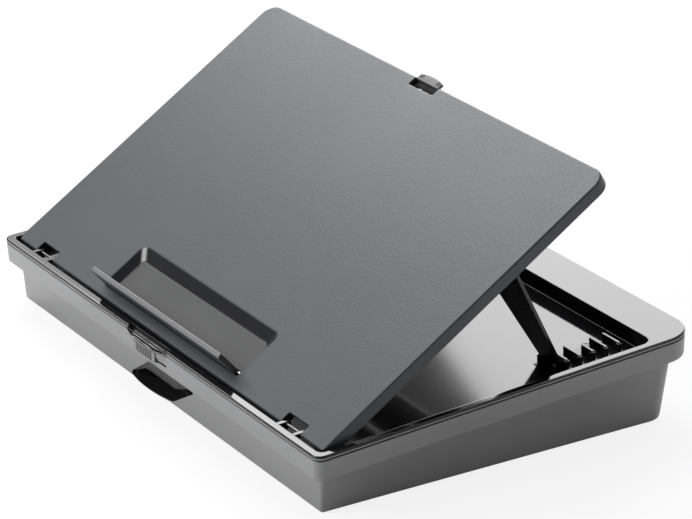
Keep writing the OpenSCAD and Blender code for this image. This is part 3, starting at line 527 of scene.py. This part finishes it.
# Work board
def work_board():
    """Rings from the panel's underside down the skirt's inside, round its foot, up its outside and over a
    rounded edge. The well's pan, cheeks, bosses and lugs are added, then the well, notches and bores cut."""
    few = np.linspace(-60, 60, 9)

    def out(margin, w, rf=3.0, rr=11.0):
        return ring(plan(LID_W / 2 - margin, margin, LID_L - margin, max(rf - margin * 0.5, 0.8),
                         max(rr - margin, 2.0), few), w)

    rings = [out(SKIRT_T + c, -PANEL_T - s) for s, c in quarter(0.8)][::-1]
    rings += [out(SKIRT_T, -5.5), out(SKIRT_T - 0.1, -SKIRT_H + 0.1), out(SKIRT_T - 0.3, -SKIRT_H)]
    rings += [out(s + 0.12, -SKIRT_H + c) for s, c in quarter(0.35)]
    rings += [out(0.06, -5)]
    rings += [out(1.1 * (1 - cos(t)), -1.1 * (1 - sin(t))) for t in np.linspace(0, pi / 2, 9)]
    rings += [out(1.5, 0)]
    board = skinned("work_board", on_board(np.array(rings)))

    def well(grow, w, flare=0.0):
        t = -w / WELL_D
        return ring(plan(WELL_HALF + grow + flare - WELL_END_IN * t, WELL_V0 - grow - flare,
                         WELL_V1 + grow + flare - WELL_BACK_IN * t, 0.8 + max(grow, 0) + flare,
                         WELL_CORNER + max(grow, 0) + flare, few), w)

    def bar(name, contour, ends, edge=0.0):
        return carried(name, contour, *ends, on_board, edge)

    pan = [well(WELL_WALL - s, -WELL_D - WELL_WALL + c) for s, c in quarter(1.0)]
    pan = skinned("pan", on_board(np.array(pan + [well(WELL_WALL, -1.2)])))
    add = [pan]
    cheek = box_yz(1.3, NOTCH_L + CHEEK_T, -AXIS_W - 3.4, -1.2)
    boss = box_yz(WELL_V0 - 0.6, LEDGE_V + 3, -LEDGE_W - 2.4, -1.15)
    catch_cheek = box_yz(LID_L - CATCH_NOTCH_L - 2, LID_L - 1.3, -SKIRT_H + 0.05, -1.25)
    catch_back = box_yz(LID_L - CATCH_NOTCH_L - 1.8, LID_L - CATCH_NOTCH_L, -SKIRT_H + 0.1, -1.2)
    lug = box_yz(PROP_V - 3, PROP_V + 3, -SKIRT_H + 0.2, -1.3)
    lug_in = PROP_HALF + 1
    for s in (-1, 1):
        for edge, way in ((s * (HINGE_X - NOTCH_HALF), -s), (s * (HINGE_X + NOTCH_HALF), s)):
            add.append(bar("cheek", cheek, sorted((edge, edge + way * CHEEK_T)), 0.15))
        add.append(bar("stud_boss", boss, span(s, WELL_HALF - 2.0, WELL_HALF + 4), 0.2))
        add.append(bar("catch_cheek", catch_cheek, span(s, CATCH_NOTCH, CATCH_NOTCH + 2.4)))
        add.append(bar("lug", lug, span(s, lug_in, lug_in + LUG_T), 0.2))
    add.append(bar("mid_lug", lug, (-LUG_T / 2, LUG_T / 2), 0.2))
    add.append(bar("catch_back", catch_back, (-CATCH_NOTCH - 0.5, CATCH_NOTCH + 0.5)))

    sunk = [well(-s, -WELL_D + c) for s, c in quarter(0.9)]
    sunk += [well(0, -0.4)] + [well(0, -s, c) for s, c in quarter(0.4)[1:]]
    sunk += [ring(sunk[-1][:, :2], 1.0)]
    cut = [skinned("well", on_board(np.array(sunk)))]
    for s in (-1, 1):
        lo, hi = span(s, HINGE_X - NOTCH_HALF, HINGE_X + NOTCH_HALF)
        cut.append(skinned("notch", on_board(notch((lo + hi) / 2, NOTCH_HALF, -2, NOTCH_L))))
        cut.append(bar("pin_bore", circle_yz(AXIS_V, -AXIS_W, PIN_HOLE, 24), (lo - 2.6, hi + 2.6)))
        ends = span(s, WELL_HALF - 8, WELL_HALF + 3)
        cut.append(bar("stud_bore", circle_yz(LEDGE_V, -LEDGE_W, STUD_HOLE, 24), ends))
    at_catch = notch(0, CATCH_NOTCH, LID_L - CATCH_NOTCH_L, LID_L + 2, 0.9)
    cut.append(skinned("catch_notch", on_board(at_catch)))
    rod_half = lug_in + LUG_T + 1.6
    cut.append(bar("rod_bore", circle_yz(PROP_V, -PROP_W, ROD_R + PIN_FIT, 28), (-rod_half, rod_half)))
    ends = (-CATCH_NOTCH - 3.4, CATCH_NOTCH + 3.4)
    cut.append(bar("catch_bore", circle_yz(LID_L - CATCH_BACK, -CATCH_W, PIN_HOLE, 24), ends))
    return carve(board, add, cut)


def notch(mid, half, v0, v1, edge=0.3):
    """A square-cornered cut through the board whose edge rounds out over its last millimetre or less."""
    def at(grow, w):
        o = plan(half + grow, v0 - grow, v1 + grow, 0.5 + grow, 0.5 + grow, np.linspace(-5, 5, 3))
        return ring(o + [mid, 0], w)

    rounded = [at(c, -s) for s, c in quarter(edge)[1:]]
    return np.array([at(0, -SKIRT_H - 1), at(0, -edge), *rounded, at(edge, 1)])


# Paper ledge
def paper_ledge():
    """One rounded section in y and z, with its ends reaching out to the slanted plane y * slope and to the
    corner cuts. Each point runs to its own end, x = u * reach(y, z)."""
    slope = WELL_END_IN / WELL_D
    front_half = WELL_HALF - (LEDGE_W - LEDGE_R) * slope - 0.35
    foot_half = WELL_HALF - LEDGE_W * slope - 0.7
    a = np.linspace(pi, 2 * pi, 16)
    foot = np.column_stack([LEDGE_R * np.cos(a), LEDGE_R * np.sin(a)])
    back = LEDGE_T - LEDGE_R
    r = 0.9
    up = np.linspace(1.8, LEDGE_L - r, 14)
    rear = np.column_stack([back + (LEDGE_R - back) * np.clip((3.4 - up) / 3.4, 0, 1) ** 2, up])
    b = np.linspace(0, pi / 2, 7)
    tip = np.concatenate([np.column_stack([back - r + r * np.cos(b), LEDGE_L - r + r * np.sin(b)]),
                          np.column_stack([-LEDGE_R + r - r * np.sin(b), LEDGE_L - r + r * np.cos(b)])])
    down = up[::-1][:-1]
    face = np.column_stack([np.full(down.shape, -LEDGE_R), down])
    section = np.concatenate([foot, rear[:-1], tip, face[1:]])
    y, z = section[:, 0], section[:, 1]
    side = np.interp(z, [-3, 0, LEDGE_W + 0.4, LEDGE_L - 4.5, LEDGE_L - 1.2, LEDGE_L],
                     [foot_half - 2, foot_half, front_half, front_half, front_half - 1.6, front_half - 3.2])
    reach = np.minimum(front_half - (y + LEDGE_R) * slope, side)
    reach = np.where(z < LEDGE_W + 0.4, np.minimum(reach, WELL_HALF - WELL_END_IN - 0.6), reach)
    edge = 0.3
    mid = np.array([(back - LEDGE_R) / 2, LEDGE_L / 2])
    left = [np.column_stack([-(reach - c), shrink(section, mid, s)]) for s, c in quarter(edge)]
    length = [np.column_stack([u * (reach - edge), section]) for u in np.linspace(-1, 1, 61)[1:-1]]
    right = [np.column_stack([reach - c, shrink(section, mid, s)]) for s, c in quarter(edge)[::-1]]
    loops = np.array(left + length + right)
    lean = radians(LEDGE_LEAN)
    v = LEDGE_V + loops[..., 1] * cos(lean) - loops[..., 2] * sin(lean)
    w = -LEDGE_W + loops[..., 1] * sin(lean) + loops[..., 2] * cos(lean)
    return skinned("paper_ledge", on_board(np.stack([loops[..., 0], v, w], -1)))


def shrink(section, mid, by):
    """A section drawn in towards its middle by a distance, in y and in z."""
    d = section - mid
    return section - np.minimum(np.abs(d), by) * np.sign(d)


# Catch
def catch_tab():
    """A thumb plate outside the board's edge with an arc for its rear, on a leg that turns down to a barrel
    round the pin, and three ribs cut into each end."""
    tip, rear_r = CATCH_BACK + CATCH_OUT, 42
    x = np.linspace(-CATCH_HALF, CATCH_HALF, 41)
    rear = tip - rear_r + np.sqrt(rear_r ** 2 - x ** 2)
    inner, top, under = CATCH_BACK - 0.9, CATCH_W - 0.25, CATCH_W - 2.3
    e = 0.35
    one = np.ones_like(x)
    rows = [(a * one, b * one) for a, b in
            ((inner, under), (inner, top - e), (inner + e * 0.3, top - e * 0.3), (inner + e, top))]
    rows += [(rear - a, b * one) for a, b in
             ((1.2, top), (0.5, top - 0.12), (0.12, top - 0.5), (0, top - 1.1), (0.2, under))]

    def at_pin(p):
        return on_board(p + [0, LID_L - CATCH_BACK, -CATCH_W])

    plate = skinned("catch_tab", at_pin(along(x, rows[::-1])))
    section = [(-1.3, -1.2), (1.6, -1.2), (inner + 1.0, 0.2), (inner + 1.2, under + 0.2),
               (inner - 0.05, under + 0.2), (inner - 0.4, 1.2), (0.2, 1.5), (-1.3, 0.6)]
    leg = carried("leg", section, -CATCH_HALF + 0.1, CATCH_HALF - 0.1, at_pin, 0.2)
    tail = carried("tail", box_yz(-3.2, 0, -1.4, -0.2), -4, 4, at_pin, 0.1)
    bore = carried("bore", circle_yz(0, 0, PIN_HOLE, 24), -CATCH_HALF - 1, CATCH_HALF + 1, at_pin)
    rib = box_yz(CATCH_BACK + 0.8, tip + 1, top - 0.7, top + 1)
    middles = [s * (CATCH_HALF - 1.1 - k * 1.35) for s in (-1, 1) for k in range(3)]
    ribs = [carried("rib", rib, middle - 0.32, middle + 0.32, at_pin) for middle in middles]
    return carve(plate, [leg, tail], [bore, *ribs])


# Slide button
def slide_button():
    """Front face on an arc below the shelf, with upright grooves and a right end that bows out. A stem
    behind it runs through the slot to the bolt."""
    x = np.linspace(BUTTON_LEFT, BUTTON_RIGHT, 401)
    groove = np.zeros_like(x)
    for k in range(GROOVES):
        off = np.abs(x + GROOVE_X - k * GROOVE_PITCH)
        groove = np.maximum(groove, GROOVE_D * np.clip(1.7 - 2.6 * off / GROOVE_W, 0, 1))
    sag = SHELF_R - np.sqrt(SHELF_R ** 2 - (x - SHELF_X) ** 2)
    left_edge = 0.5 * np.clip((-11.4 - x) / 0.6, 0, 1) ** 2
    right_edge = 0.5 * np.clip((x - 12.4) / 0.6, 0, 1) ** 2
    rear_y = CHANNEL_FLOOR - 0.08
    face = np.minimum(BUTTON_Y + sag * 0.8 + groove + left_edge + right_edge, rear_y - 0.5)
    r, half = 0.45, BUTTON_HALF_H
    a, b = ROUND[1:], ROUND[:0:-1]
    z = np.concatenate([[-half], -half + r * (1 - np.cos(a)), half - r * (1 - np.cos(b)), [half]])
    back = np.concatenate([[r], r * (1 - np.sin(a)), r * (1 - np.sin(b)), [r]])
    y = face[:, None] + back[None, ::-1] * 0.8
    zz = np.broadcast_to((BUTTON_Z + z)[None, ::-1], y.shape)
    rear = np.array([[rear_y, BUTTON_Z - half], [rear_y, BUTTON_Z + half]])
    yy = np.concatenate([y, np.broadcast_to(rear[:, 0], (len(x), 2))], 1)
    zz = np.concatenate([zz, np.broadcast_to(rear[:, 1], (len(x), 2))], 1)
    bow = np.clip((x - 8.5) / 4.5, 0, 1)[:, None]
    xx = x[:, None] - 2.0 * bow * ((zz - BUTTON_Z) / half) ** 2
    body = skinned("slide_button", on_tray(np.stack([xx, yy, zz], -1)))
    section = box_yz(rear_y - 0.2, 1.55, SLOT_FOOT + 0.3, SLOT_TOP - 0.2)
    stem = carried("stem", section, SLOT_X + 0.3, 10.8, on_tray)
    return joined([body, stem])


# Materials
def shader(name):
    made = bpy.data.materials.new(name)
    made.use_nodes = True
    tree = made.node_tree
    tree.nodes.clear()
    return made, tree


def put(tree, kind, values=None, **settings):
    """A node with its settings and its sockets: a socket's value is a number, a colour or another node's
    output."""
    n = tree.nodes.new("ShaderNode" + kind)
    for key, value in settings.items():
        setattr(n, key, value)
    for key, value in (values or {}).items():
        if isinstance(value, bpy.types.NodeSocket):
            tree.links.new(value, n.inputs[key])
        else:
            n.inputs[key].default_value = value
    return n


def spread_noise(tree, noise, low, high):
    """The middle of a noise node's range, 0.3 to 0.7, spread from low to high."""
    return put(tree, "MapRange", {"Value": noise.outputs["Fac"], "From Min": 0.3, "From Max": 0.7,
                                  "To Min": low, "To Max": high})


def moulded(name, colour, rough, grain=0.0, cell=1.2, speck=0.02, wear_and_glint=0.1, round_off=0.35, spread=0.05):
    """Moulded plastic: a broad drift of tone and gloss, fine specks, a spark-eroded grain of cells in
    millimetres, slightly paler edges that are partly wear and partly a painted highlight, and edges
    rounded off by round_off millimetres."""
    made, tree = shader(name)
    at = put(tree, "TexCoord").outputs["Object"]
    broad = put(tree, "TexNoise", {"Vector": at, "Scale": 11.0, "Detail": 3.0, "Roughness": 0.55})
    fine = put(tree, "TexNoise", {"Vector": at, "Scale": 2600.0, "Detail": 2.0, "Roughness": 0.6})
    cells = put(tree, "TexVoronoi", {"Vector": at, "Scale": 1000.0 / cell, "Randomness": 0.9})
    tone = spread_noise(tree, broad, 1 - spread, 1 + spread)
    pale = spread_noise(tree, fine, 1 - speck, 1 + speck)
    both = put(tree, "Math", {0: tone.outputs[0], 1: pale.outputs[0]}, operation="MULTIPLY")
    soft = put(tree, "Bevel", {"Radius": round_off * 0.001}, samples=4)
    true = put(tree, "NewGeometry")
    turned = put(tree, "VectorMath", {0: soft.outputs[0], 1: true.outputs["Normal"]},
                 operation="DOT_PRODUCT")
    # Paler edges: partly wear, partly a painted highlight where rounded edges catch the light.
    worn_and_glint = put(tree, "MapRange", {"Value": turned.outputs["Value"], "From Min": 1.0, "From Max": 0.8,
                                  "To Min": 1.0, "To Max": 1 + wear_and_glint})
    shade = put(tree, "Math", {0: both.outputs[0], 1: worn_and_glint.outputs[0]}, operation="MULTIPLY")
    tint = put(tree, "VectorMath", {0: colour, "Scale": shade.outputs[0]}, operation="SCALE")
    gloss = spread_noise(tree, broad, rough * 0.92, rough * 1.08)
    height = put(tree, "Math", {0: cells.outputs["Distance"], 1: grain}, operation="MULTIPLY")
    relief = put(tree, "Math", {0: fine.outputs["Fac"], 1: 0.35 * max(grain, 0.02)}, operation="MULTIPLY")
    total = put(tree, "Math", {0: height.outputs[0], 1: relief.outputs[0]}, operation="ADD")
    bump = put(tree, "Bump", {"Height": total.outputs[0], "Strength": 0.35, "Distance": 0.0001,
                              "Normal": soft.outputs[0]})
    skin = put(tree, "BsdfPrincipled", {"Base Color": tint.outputs[0], "Roughness": gloss.outputs[0],
                                        "Normal": bump.outputs[0]})
    put(tree, "OutputMaterial", {"Surface": skin.outputs[0]})
    return made


def brushed_steel(name, low=0.5, high=0.62):
    """Drawn steel between two tones of grey: fine lines round the pins and a little spread in gloss."""
    made, tree = shader(name)
    at = put(tree, "TexCoord").outputs["Object"]
    turn = put(tree, "Mapping", {"Vector": at, "Scale": (6000.0, 500.0, 500.0)})
    lines = put(tree, "TexNoise", {"Vector": turn.outputs[0], "Scale": 1.0, "Detail": 3.0})
    tone = spread_noise(tree, lines, low, high).outputs[0]
    grey = put(tree, "CombineColor", {"Red": tone, "Green": tone, "Blue": tone})
    gloss = put(tree, "MapRange", {"Value": lines.outputs["Fac"], "To Min": 0.22, "To Max": 0.42})
    bump = put(tree, "Bump", {"Height": lines.outputs["Fac"], "Strength": 0.2, "Distance": 0.00005})
    skin = put(tree, "BsdfPrincipled", {"Base Color": grey.outputs[0], "Metallic": 1.0,
                                        "Roughness": gloss.outputs[0], "Normal": bump.outputs[0]})
    put(tree, "OutputMaterial", {"Surface": skin.outputs[0]})
    return made


tub_grey = moulded("tub_grey_satin", (0.22, 0.221, 0.225), 0.34, grain=0.25, cell=0.7)
# Near-black painted shade for hollows: the finger pocket, the slot, behind the channel, the button and under
# the catch.
painted_shade_black = moulded("painted_shade_gloss", (0.012, 0.012, 0.013), 0.25, grain=0.05, cell=0.8, wear_and_glint=0.0)
# Painted shade on the band that slopes in under the collar, with a painted highlight on its ridge edge.
painted_band_shade = moulded("pocket_band_painted_shade", (0.022, 0.0222, 0.0235), 0.3, grain=0.1, cell=0.8, wear_and_glint=0.8,
                    round_off=0.5)
tray_black = moulded("tray_gloss", (0.006, 0.0062, 0.007), 0.075, grain=0.01, cell=0.8, spread=0.1,
                     round_off=0.3)
board_grey = moulded("board_grained", (0.034, 0.0362, 0.042), 0.38, grain=1.6, cell=0.9, speck=0.25,
                     wear_and_glint=0.3)
well_smooth = moulded("well_smooth", (0.036, 0.0365, 0.0385), 0.3, grain=0.15, cell=0.9, wear_and_glint=0.3)
# Painted shade for the slopes of the ledge's well and the walls of the notches, darker than the board's
# grey.
well_painted_shade = moulded("well_slope_painted_shade", (0.013, 0.0135, 0.015), 0.2, grain=0.05, cell=0.9, wear_and_glint=0.3)
ledge_grey = moulded("ledge_matt", (0.022, 0.0225, 0.024), 0.38, grain=0.5, cell=0.8, wear_and_glint=0.5)
# Painted sheen: the ledge's top edge is paler than its faces, where it catches the light.
ledge_top_sheen = moulded("ledge_top_painted_sheen", (0.12, 0.121, 0.124), 0.5, grain=1.0, cell=0.8, speck=0.25)
# Strongly paled edges on the prop and the racks: a painted highlight along their edges.
prop_black = moulded("prop_gloss", (0.007, 0.0073, 0.0085), 0.2, grain=0.05, cell=0.9, wear_and_glint=1.5,
                     round_off=0.6)
rack_black = moulded("rack_gloss", (0.007, 0.0073, 0.0085), 0.2, grain=0.03, cell=0.9, wear_and_glint=1.5,
                     round_off=0.5)
catch_grey = moulded("catch_satin", (0.06, 0.061, 0.064), 0.42, grain=0.3, cell=0.7, round_off=0.3)
button_grey = moulded("button_satin", (0.2, 0.201, 0.205), 0.36, grain=0.2, cell=0.6, round_off=0.12)
pad_rubber = moulded("pad_rubber", (0.02, 0.02, 0.021), 0.85, grain=0.9, cell=0.5, wear_and_glint=0.0, round_off=0.3)
steel = brushed_steel("pin_steel")
dark_steel = brushed_steel("pin_steel_dark", 0.1, 0.16)


# Pieces
def line_tub(tub):
    """Painted shade inside the finger pocket, in the stem's slot and behind the channel."""
    x, y, z = (face_middles(tub) * 1000 + [0, Y_MID, 0]).T
    back = face_normals(tub)[:, 1]
    in_pocket = within(x, POCKET_LEFT, POCKET_RIGHT + 0.1) & within(z, 2, 26.9) & (y < POCKET_BACK + 0.1)
    in_pocket &= (y > wall_y(z) + 0.4) | (np.abs(back) < 0.6) & (y > LIP_Y) & (z < 26) | (back > 0.5)
    band = (y < RIDGE_Y + 0.6) & (z > 3.2) & (back < -0.3)
    lined(tub, painted_band_shade, in_pocket & band)
    lined(tub, painted_shade_black, in_pocket & ~band)
    x, y, z = off_tray(face_middles(tub)).T
    at_slot = within(x, SLOT_X - 0.1, SLOT_X + SLOT_W + 0.1) & within(z, SLOT_FOOT - 0.1, SLOT_TOP + 0.1)
    at_slot &= within(y, -2.9, 4)
    behind = within(x, CHANNEL_X - 1.2, CHANNEL_X + CHANNEL_W + 1.2) & within(z, -9.2, -0.9)
    behind &= within(y, 0.7, 4)
    lined(tub, painted_shade_black, at_slot | behind)


def line_tray(tray):
    """The tub's grey on the rim's outer face below the flange line and on the thumb shelf's front edge."""
    x, y, z = off_tray(face_middles(tray)).T
    far = np.abs(x)
    front = (y < 0.5) & (z < SHELF_TOP - 0.03) | within(y, -0.1, 0.45)
    rear = within(y, SLOPE_D - 0.45, SLOPE_D + 0.1)
    side = far > BODY_W / 2 - 0.45
    rear_corner = (far > BODY_W / 2 - 22) & (y > SLOPE_D - CORNER_REAR_R) & (z > 0)
    front_corner = (far > BODY_W / 2 - 7) & (y < 7) & (z > 0)
    front_corner &= np.hypot(far - BODY_W / 2 + CORNER_FRONT_R, y - CORNER_FRONT_R) > CORNER_FRONT_R - 0.5
    outside = front | rear | side | rear_corner | front_corner
    lined(tray, tub_grey, within(z, -0.25, FLANGE_H - 0.1) & outside)


def board_slopes(piece):
    """How far each face of a piece looks up the board and out of it."""
    n = face_normals(piece)
    lie = TILT + RISE
    return n[:, 1] * cos(lie) + n[:, 2] * sin(lie), n[:, 2] * cos(lie) - n[:, 1] * sin(lie)


def line_board(board):
    """A smooth floor in the ledge's well, painted shade on its slopes, and painted shade on the notches'
    walls.
    """
    x, v, w = off_board(face_middles(board)).T
    along_v, out = board_slopes(board)
    in_well = (np.abs(x) < WELL_HALF + 0.3) & within(v, WELL_V0 - 0.3, WELL_V1 + 0.3)
    in_well &= within(w, -WELL_D - 0.1, -0.35)
    in_well &= (out > 0.1) | (along_v > 0.5) & (v < WELL_V0 + 0.5)
    lined(board, well_smooth, in_well & (out > 0.97))
    lined(board, well_painted_shade, in_well & (out <= 0.97))
    at_hinge = (np.abs(np.abs(x) - HINGE_X) < NOTCH_HALF + 0.05) & (v < NOTCH_L + 0.05) & (w < -0.3)
    at_catch = (np.abs(x) < CATCH_NOTCH + 1.0) & (v > LID_L - CATCH_NOTCH_L - 1.0)
    at_catch &= (w < -0.05) & (out < 0.97)
    lined(board, well_painted_shade, at_hinge | at_catch)


def line_ledge(ledge):
    """A paler top edge: painted sheen where the top catches the light."""
    x, v, w = off_board(face_middles(ledge)).T
    up = (v - LEDGE_V) * -sin(radians(LEDGE_LEAN)) + (w + LEDGE_W) * cos(radians(LEDGE_LEAN))
    lined(ledge, ledge_top_sheen, (up > LEDGE_L - 0.8) & (board_slopes(ledge)[1] > 0.35))


def line_button(button):
    """Painted shade on the right end and in lines along the grooves."""
    x, y, z = off_tray(face_middles(button)).T
    facing = face_normals(button)
    lined(button, painted_shade_black, (facing[:, 0] > 0.6) & (x > 9) | (y > -1.5) & (x > 10))
    step = (x + GROOVE_X) / GROOVE_PITCH
    off = np.abs(step - np.round(step)) * GROOVE_PITCH
    lined(button, painted_shade_black, (off < GROOVE_W / 2) & (x < 8.2) & (facing[:, 1] < -0.2))


def line_tab(tab):
    """Painted shade below the thumb plate."""
    x, v, w = off_board(face_middles(tab)).T
    lined(tab, painted_shade_black, w < -CATCH_W + 2.0)


line_tub(finished(tub_shell(), tub_grey, "base", "tub_plastic", "tub"))
line_tray(finished(tray_shell(), tray_black, "tray_body", "tray_plastic", "tray"))
line_board(finished(work_board(), board_grey, "board", "lid_plastic", "lid"))
line_ledge(finished(paper_ledge(), ledge_grey, "ledge_body", "ledge_plastic", "ledge"))
line_button(finished(slide_button(), button_grey, "slider", "button_plastic", "slider_button"))
line_tab(finished(catch_tab(), catch_grey, "catch_body", "catch_plastic", "catch"))

for node, material in (("foot_pads", pad_rubber), ("slider_bolt", button_grey), ("strike", tray_black),
                       ("rack_right", rack_black), ("rack_left", rack_black), ("rack_screws", dark_steel),
                       ("tray_hinge_pins", steel), ("lid_hinge_pins", dark_steel), ("prop_rod", steel),
                       ("rod_clips", steel), ("ledge_studs", steel), ("prop_leg", prop_black),
                       ("catch_pin", steel), ("catch_spring", steel)):
    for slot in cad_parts[node].material_slots:
        slot.material = material


# Floor, camera and lights
def white_stage(size=14.0, n=40, level_r=3.5, rise=0.02, white_share=0.84, tone=0.86):
    """Floor z = 0 that rises all round as z = rise (r - level_r)^2 past r = level_r. The camera sees it
    mostly as plain white, with a share of its true shade so that the shadow stays."""
    g = np.linspace(-size, size, n)
    x, y = np.meshgrid(g, g)
    z = rise * np.maximum(np.hypot(x, y) - level_r, 0) ** 2 - 0.0001
    k = np.arange(n * n).reshape(n, n)
    quads = np.stack([k[:-1, :-1], k[:-1, 1:], k[1:, 1:], k[1:, :-1]], -1).reshape(-1, 4)
    made = mesh_object("floor", np.stack([x, y, z], -1).reshape(-1, 3), quads, [])
    paper, tree = shader("floor_white")
    path = put(tree, "LightPath")
    seen = put(tree, "Math", {0: path.outputs["Is Camera Ray"], 1: white_share}, operation="MULTIPLY")
    matt = put(tree, "BsdfDiffuse", {"Color": (tone, tone, tone, 1)})
    glow = put(tree, "Emission", {"Color": (1, 1, 1, 1), "Strength": 1.0})
    mixed = put(tree, "MixShader", {0: seen.outputs[0], 1: matt.outputs[0], 2: glow.outputs[0]})
    put(tree, "OutputMaterial", {"Surface": mixed.outputs[0]})
    made.data.materials.append(paper)


def white_world(level):
    """White at strength 1 for the camera, and at a level of its own for all other rays."""
    world = bpy.data.worlds.new("studio")
    bpy.context.scene.world = world
    world.use_nodes = True
    tree = world.node_tree
    tree.nodes.clear()
    path = put(tree, "LightPath")
    strength = put(tree, "MapRange", {"Value": path.outputs["Is Camera Ray"], "To Min": level,
                                      "To Max": 1.0})
    back = put(tree, "Background", {"Color": (1, 1, 1, 1), "Strength": strength.outputs[0]})
    put(tree, "OutputWorld", {"Surface": back.outputs[0]})


def softbox(name, toward, distance, width, height, radiance, middle=(0, 0, 0.08), turn=0.0, shift=(0, 0)):
    """A rectangular lamp seen from the middle in one direction, turned about it and shifted in its own
    plane. Its power is radiance * pi * area."""
    lamp = bpy.data.lights.new(name, "AREA")
    lamp.shape, lamp.size, lamp.size_y = "RECTANGLE", width, height
    lamp.energy = radiance * pi * width * height
    made = bpy.data.objects.new(name, lamp)
    bpy.context.collection.objects.link(made)
    toward = Vector(toward).normalized()
    facing = toward.to_track_quat("Z", "Y").to_matrix().to_4x4() @ Matrix.Rotation(turn, 4, "Z")
    place = Matrix.Translation(Vector(middle) + toward * distance) @ facing
    made.matrix_world = place @ Matrix.Translation((*shift, 0))


white_stage()
white_world(0.2)
BEHIND = (-0.617, 0.722, 0.314)
softbox("back_softbox", BEHIND, 2.44, 1.517, 1.7, 5.0, turn=0.642)
softbox("rim_softbox", BEHIND, 2.44, 0.8, 0.8, 6.2, turn=0.642, shift=(1.37, 0.13))
softbox("rim_left_softbox", BEHIND, 2.44, 0.8, 0.6, 1.9, turn=0.642, shift=(1.37, -0.57))
softbox("front_key", (-0.28, -0.80, 0.50), 2.0, 1.3, 0.7, 10.3)
softbox("left_glint", (-0.768, -0.38, 0.51), 2.0, 0.35, 0.35, 8.0)
softbox("top_sheen", (-0.67, 0.05, 0.735), 1.94, 0.9, 1.4, 7.4, (-0.1, 0.1, 0.15))
softbox("top_right", (0.3, 0.51, 0.8), 1.6, 0.7, 0.7, 3.0, (0.15, 0.1, 0.1))


def photo_camera():
    """The photograph's camera: direction from azimuth and elevation, then a small roll about the view. Its
    focal length was found in pixels, for the picture's width in pixels."""
    az, el, roll = radians(56.22232), radians(22.55458), radians(1.49581)
    focal, width, sensor = 3089.20046, 692, 36
    back = Vector((sin(az) * cos(el), -cos(az) * cos(el), sin(el)))
    right = Vector((cos(az), sin(az), 0))
    up = back.cross(right)
    x = right * cos(roll) + up * sin(roll)
    y = up * cos(roll) - right * sin(roll)
    spot = Vector((-0.05258131, 0.04051784, 0.04)) + back * 2.05808875
    camera = bpy.data.cameras.new("camera")
    camera.sensor_fit, camera.sensor_width, camera.lens = "HORIZONTAL", sensor, focal * sensor / width
    camera.clip_start, camera.clip_end = 0.1, 100
    made = bpy.data.objects.new("camera", camera)
    bpy.context.collection.objects.link(made)
    made.matrix_world = Matrix((x, y, back)).transposed().to_4x4()
    made.matrix_world.translation = spot
    bpy.context.scene.camera = made


photo_camera()
bpy.context.scene.view_settings.view_transform = "Standard"
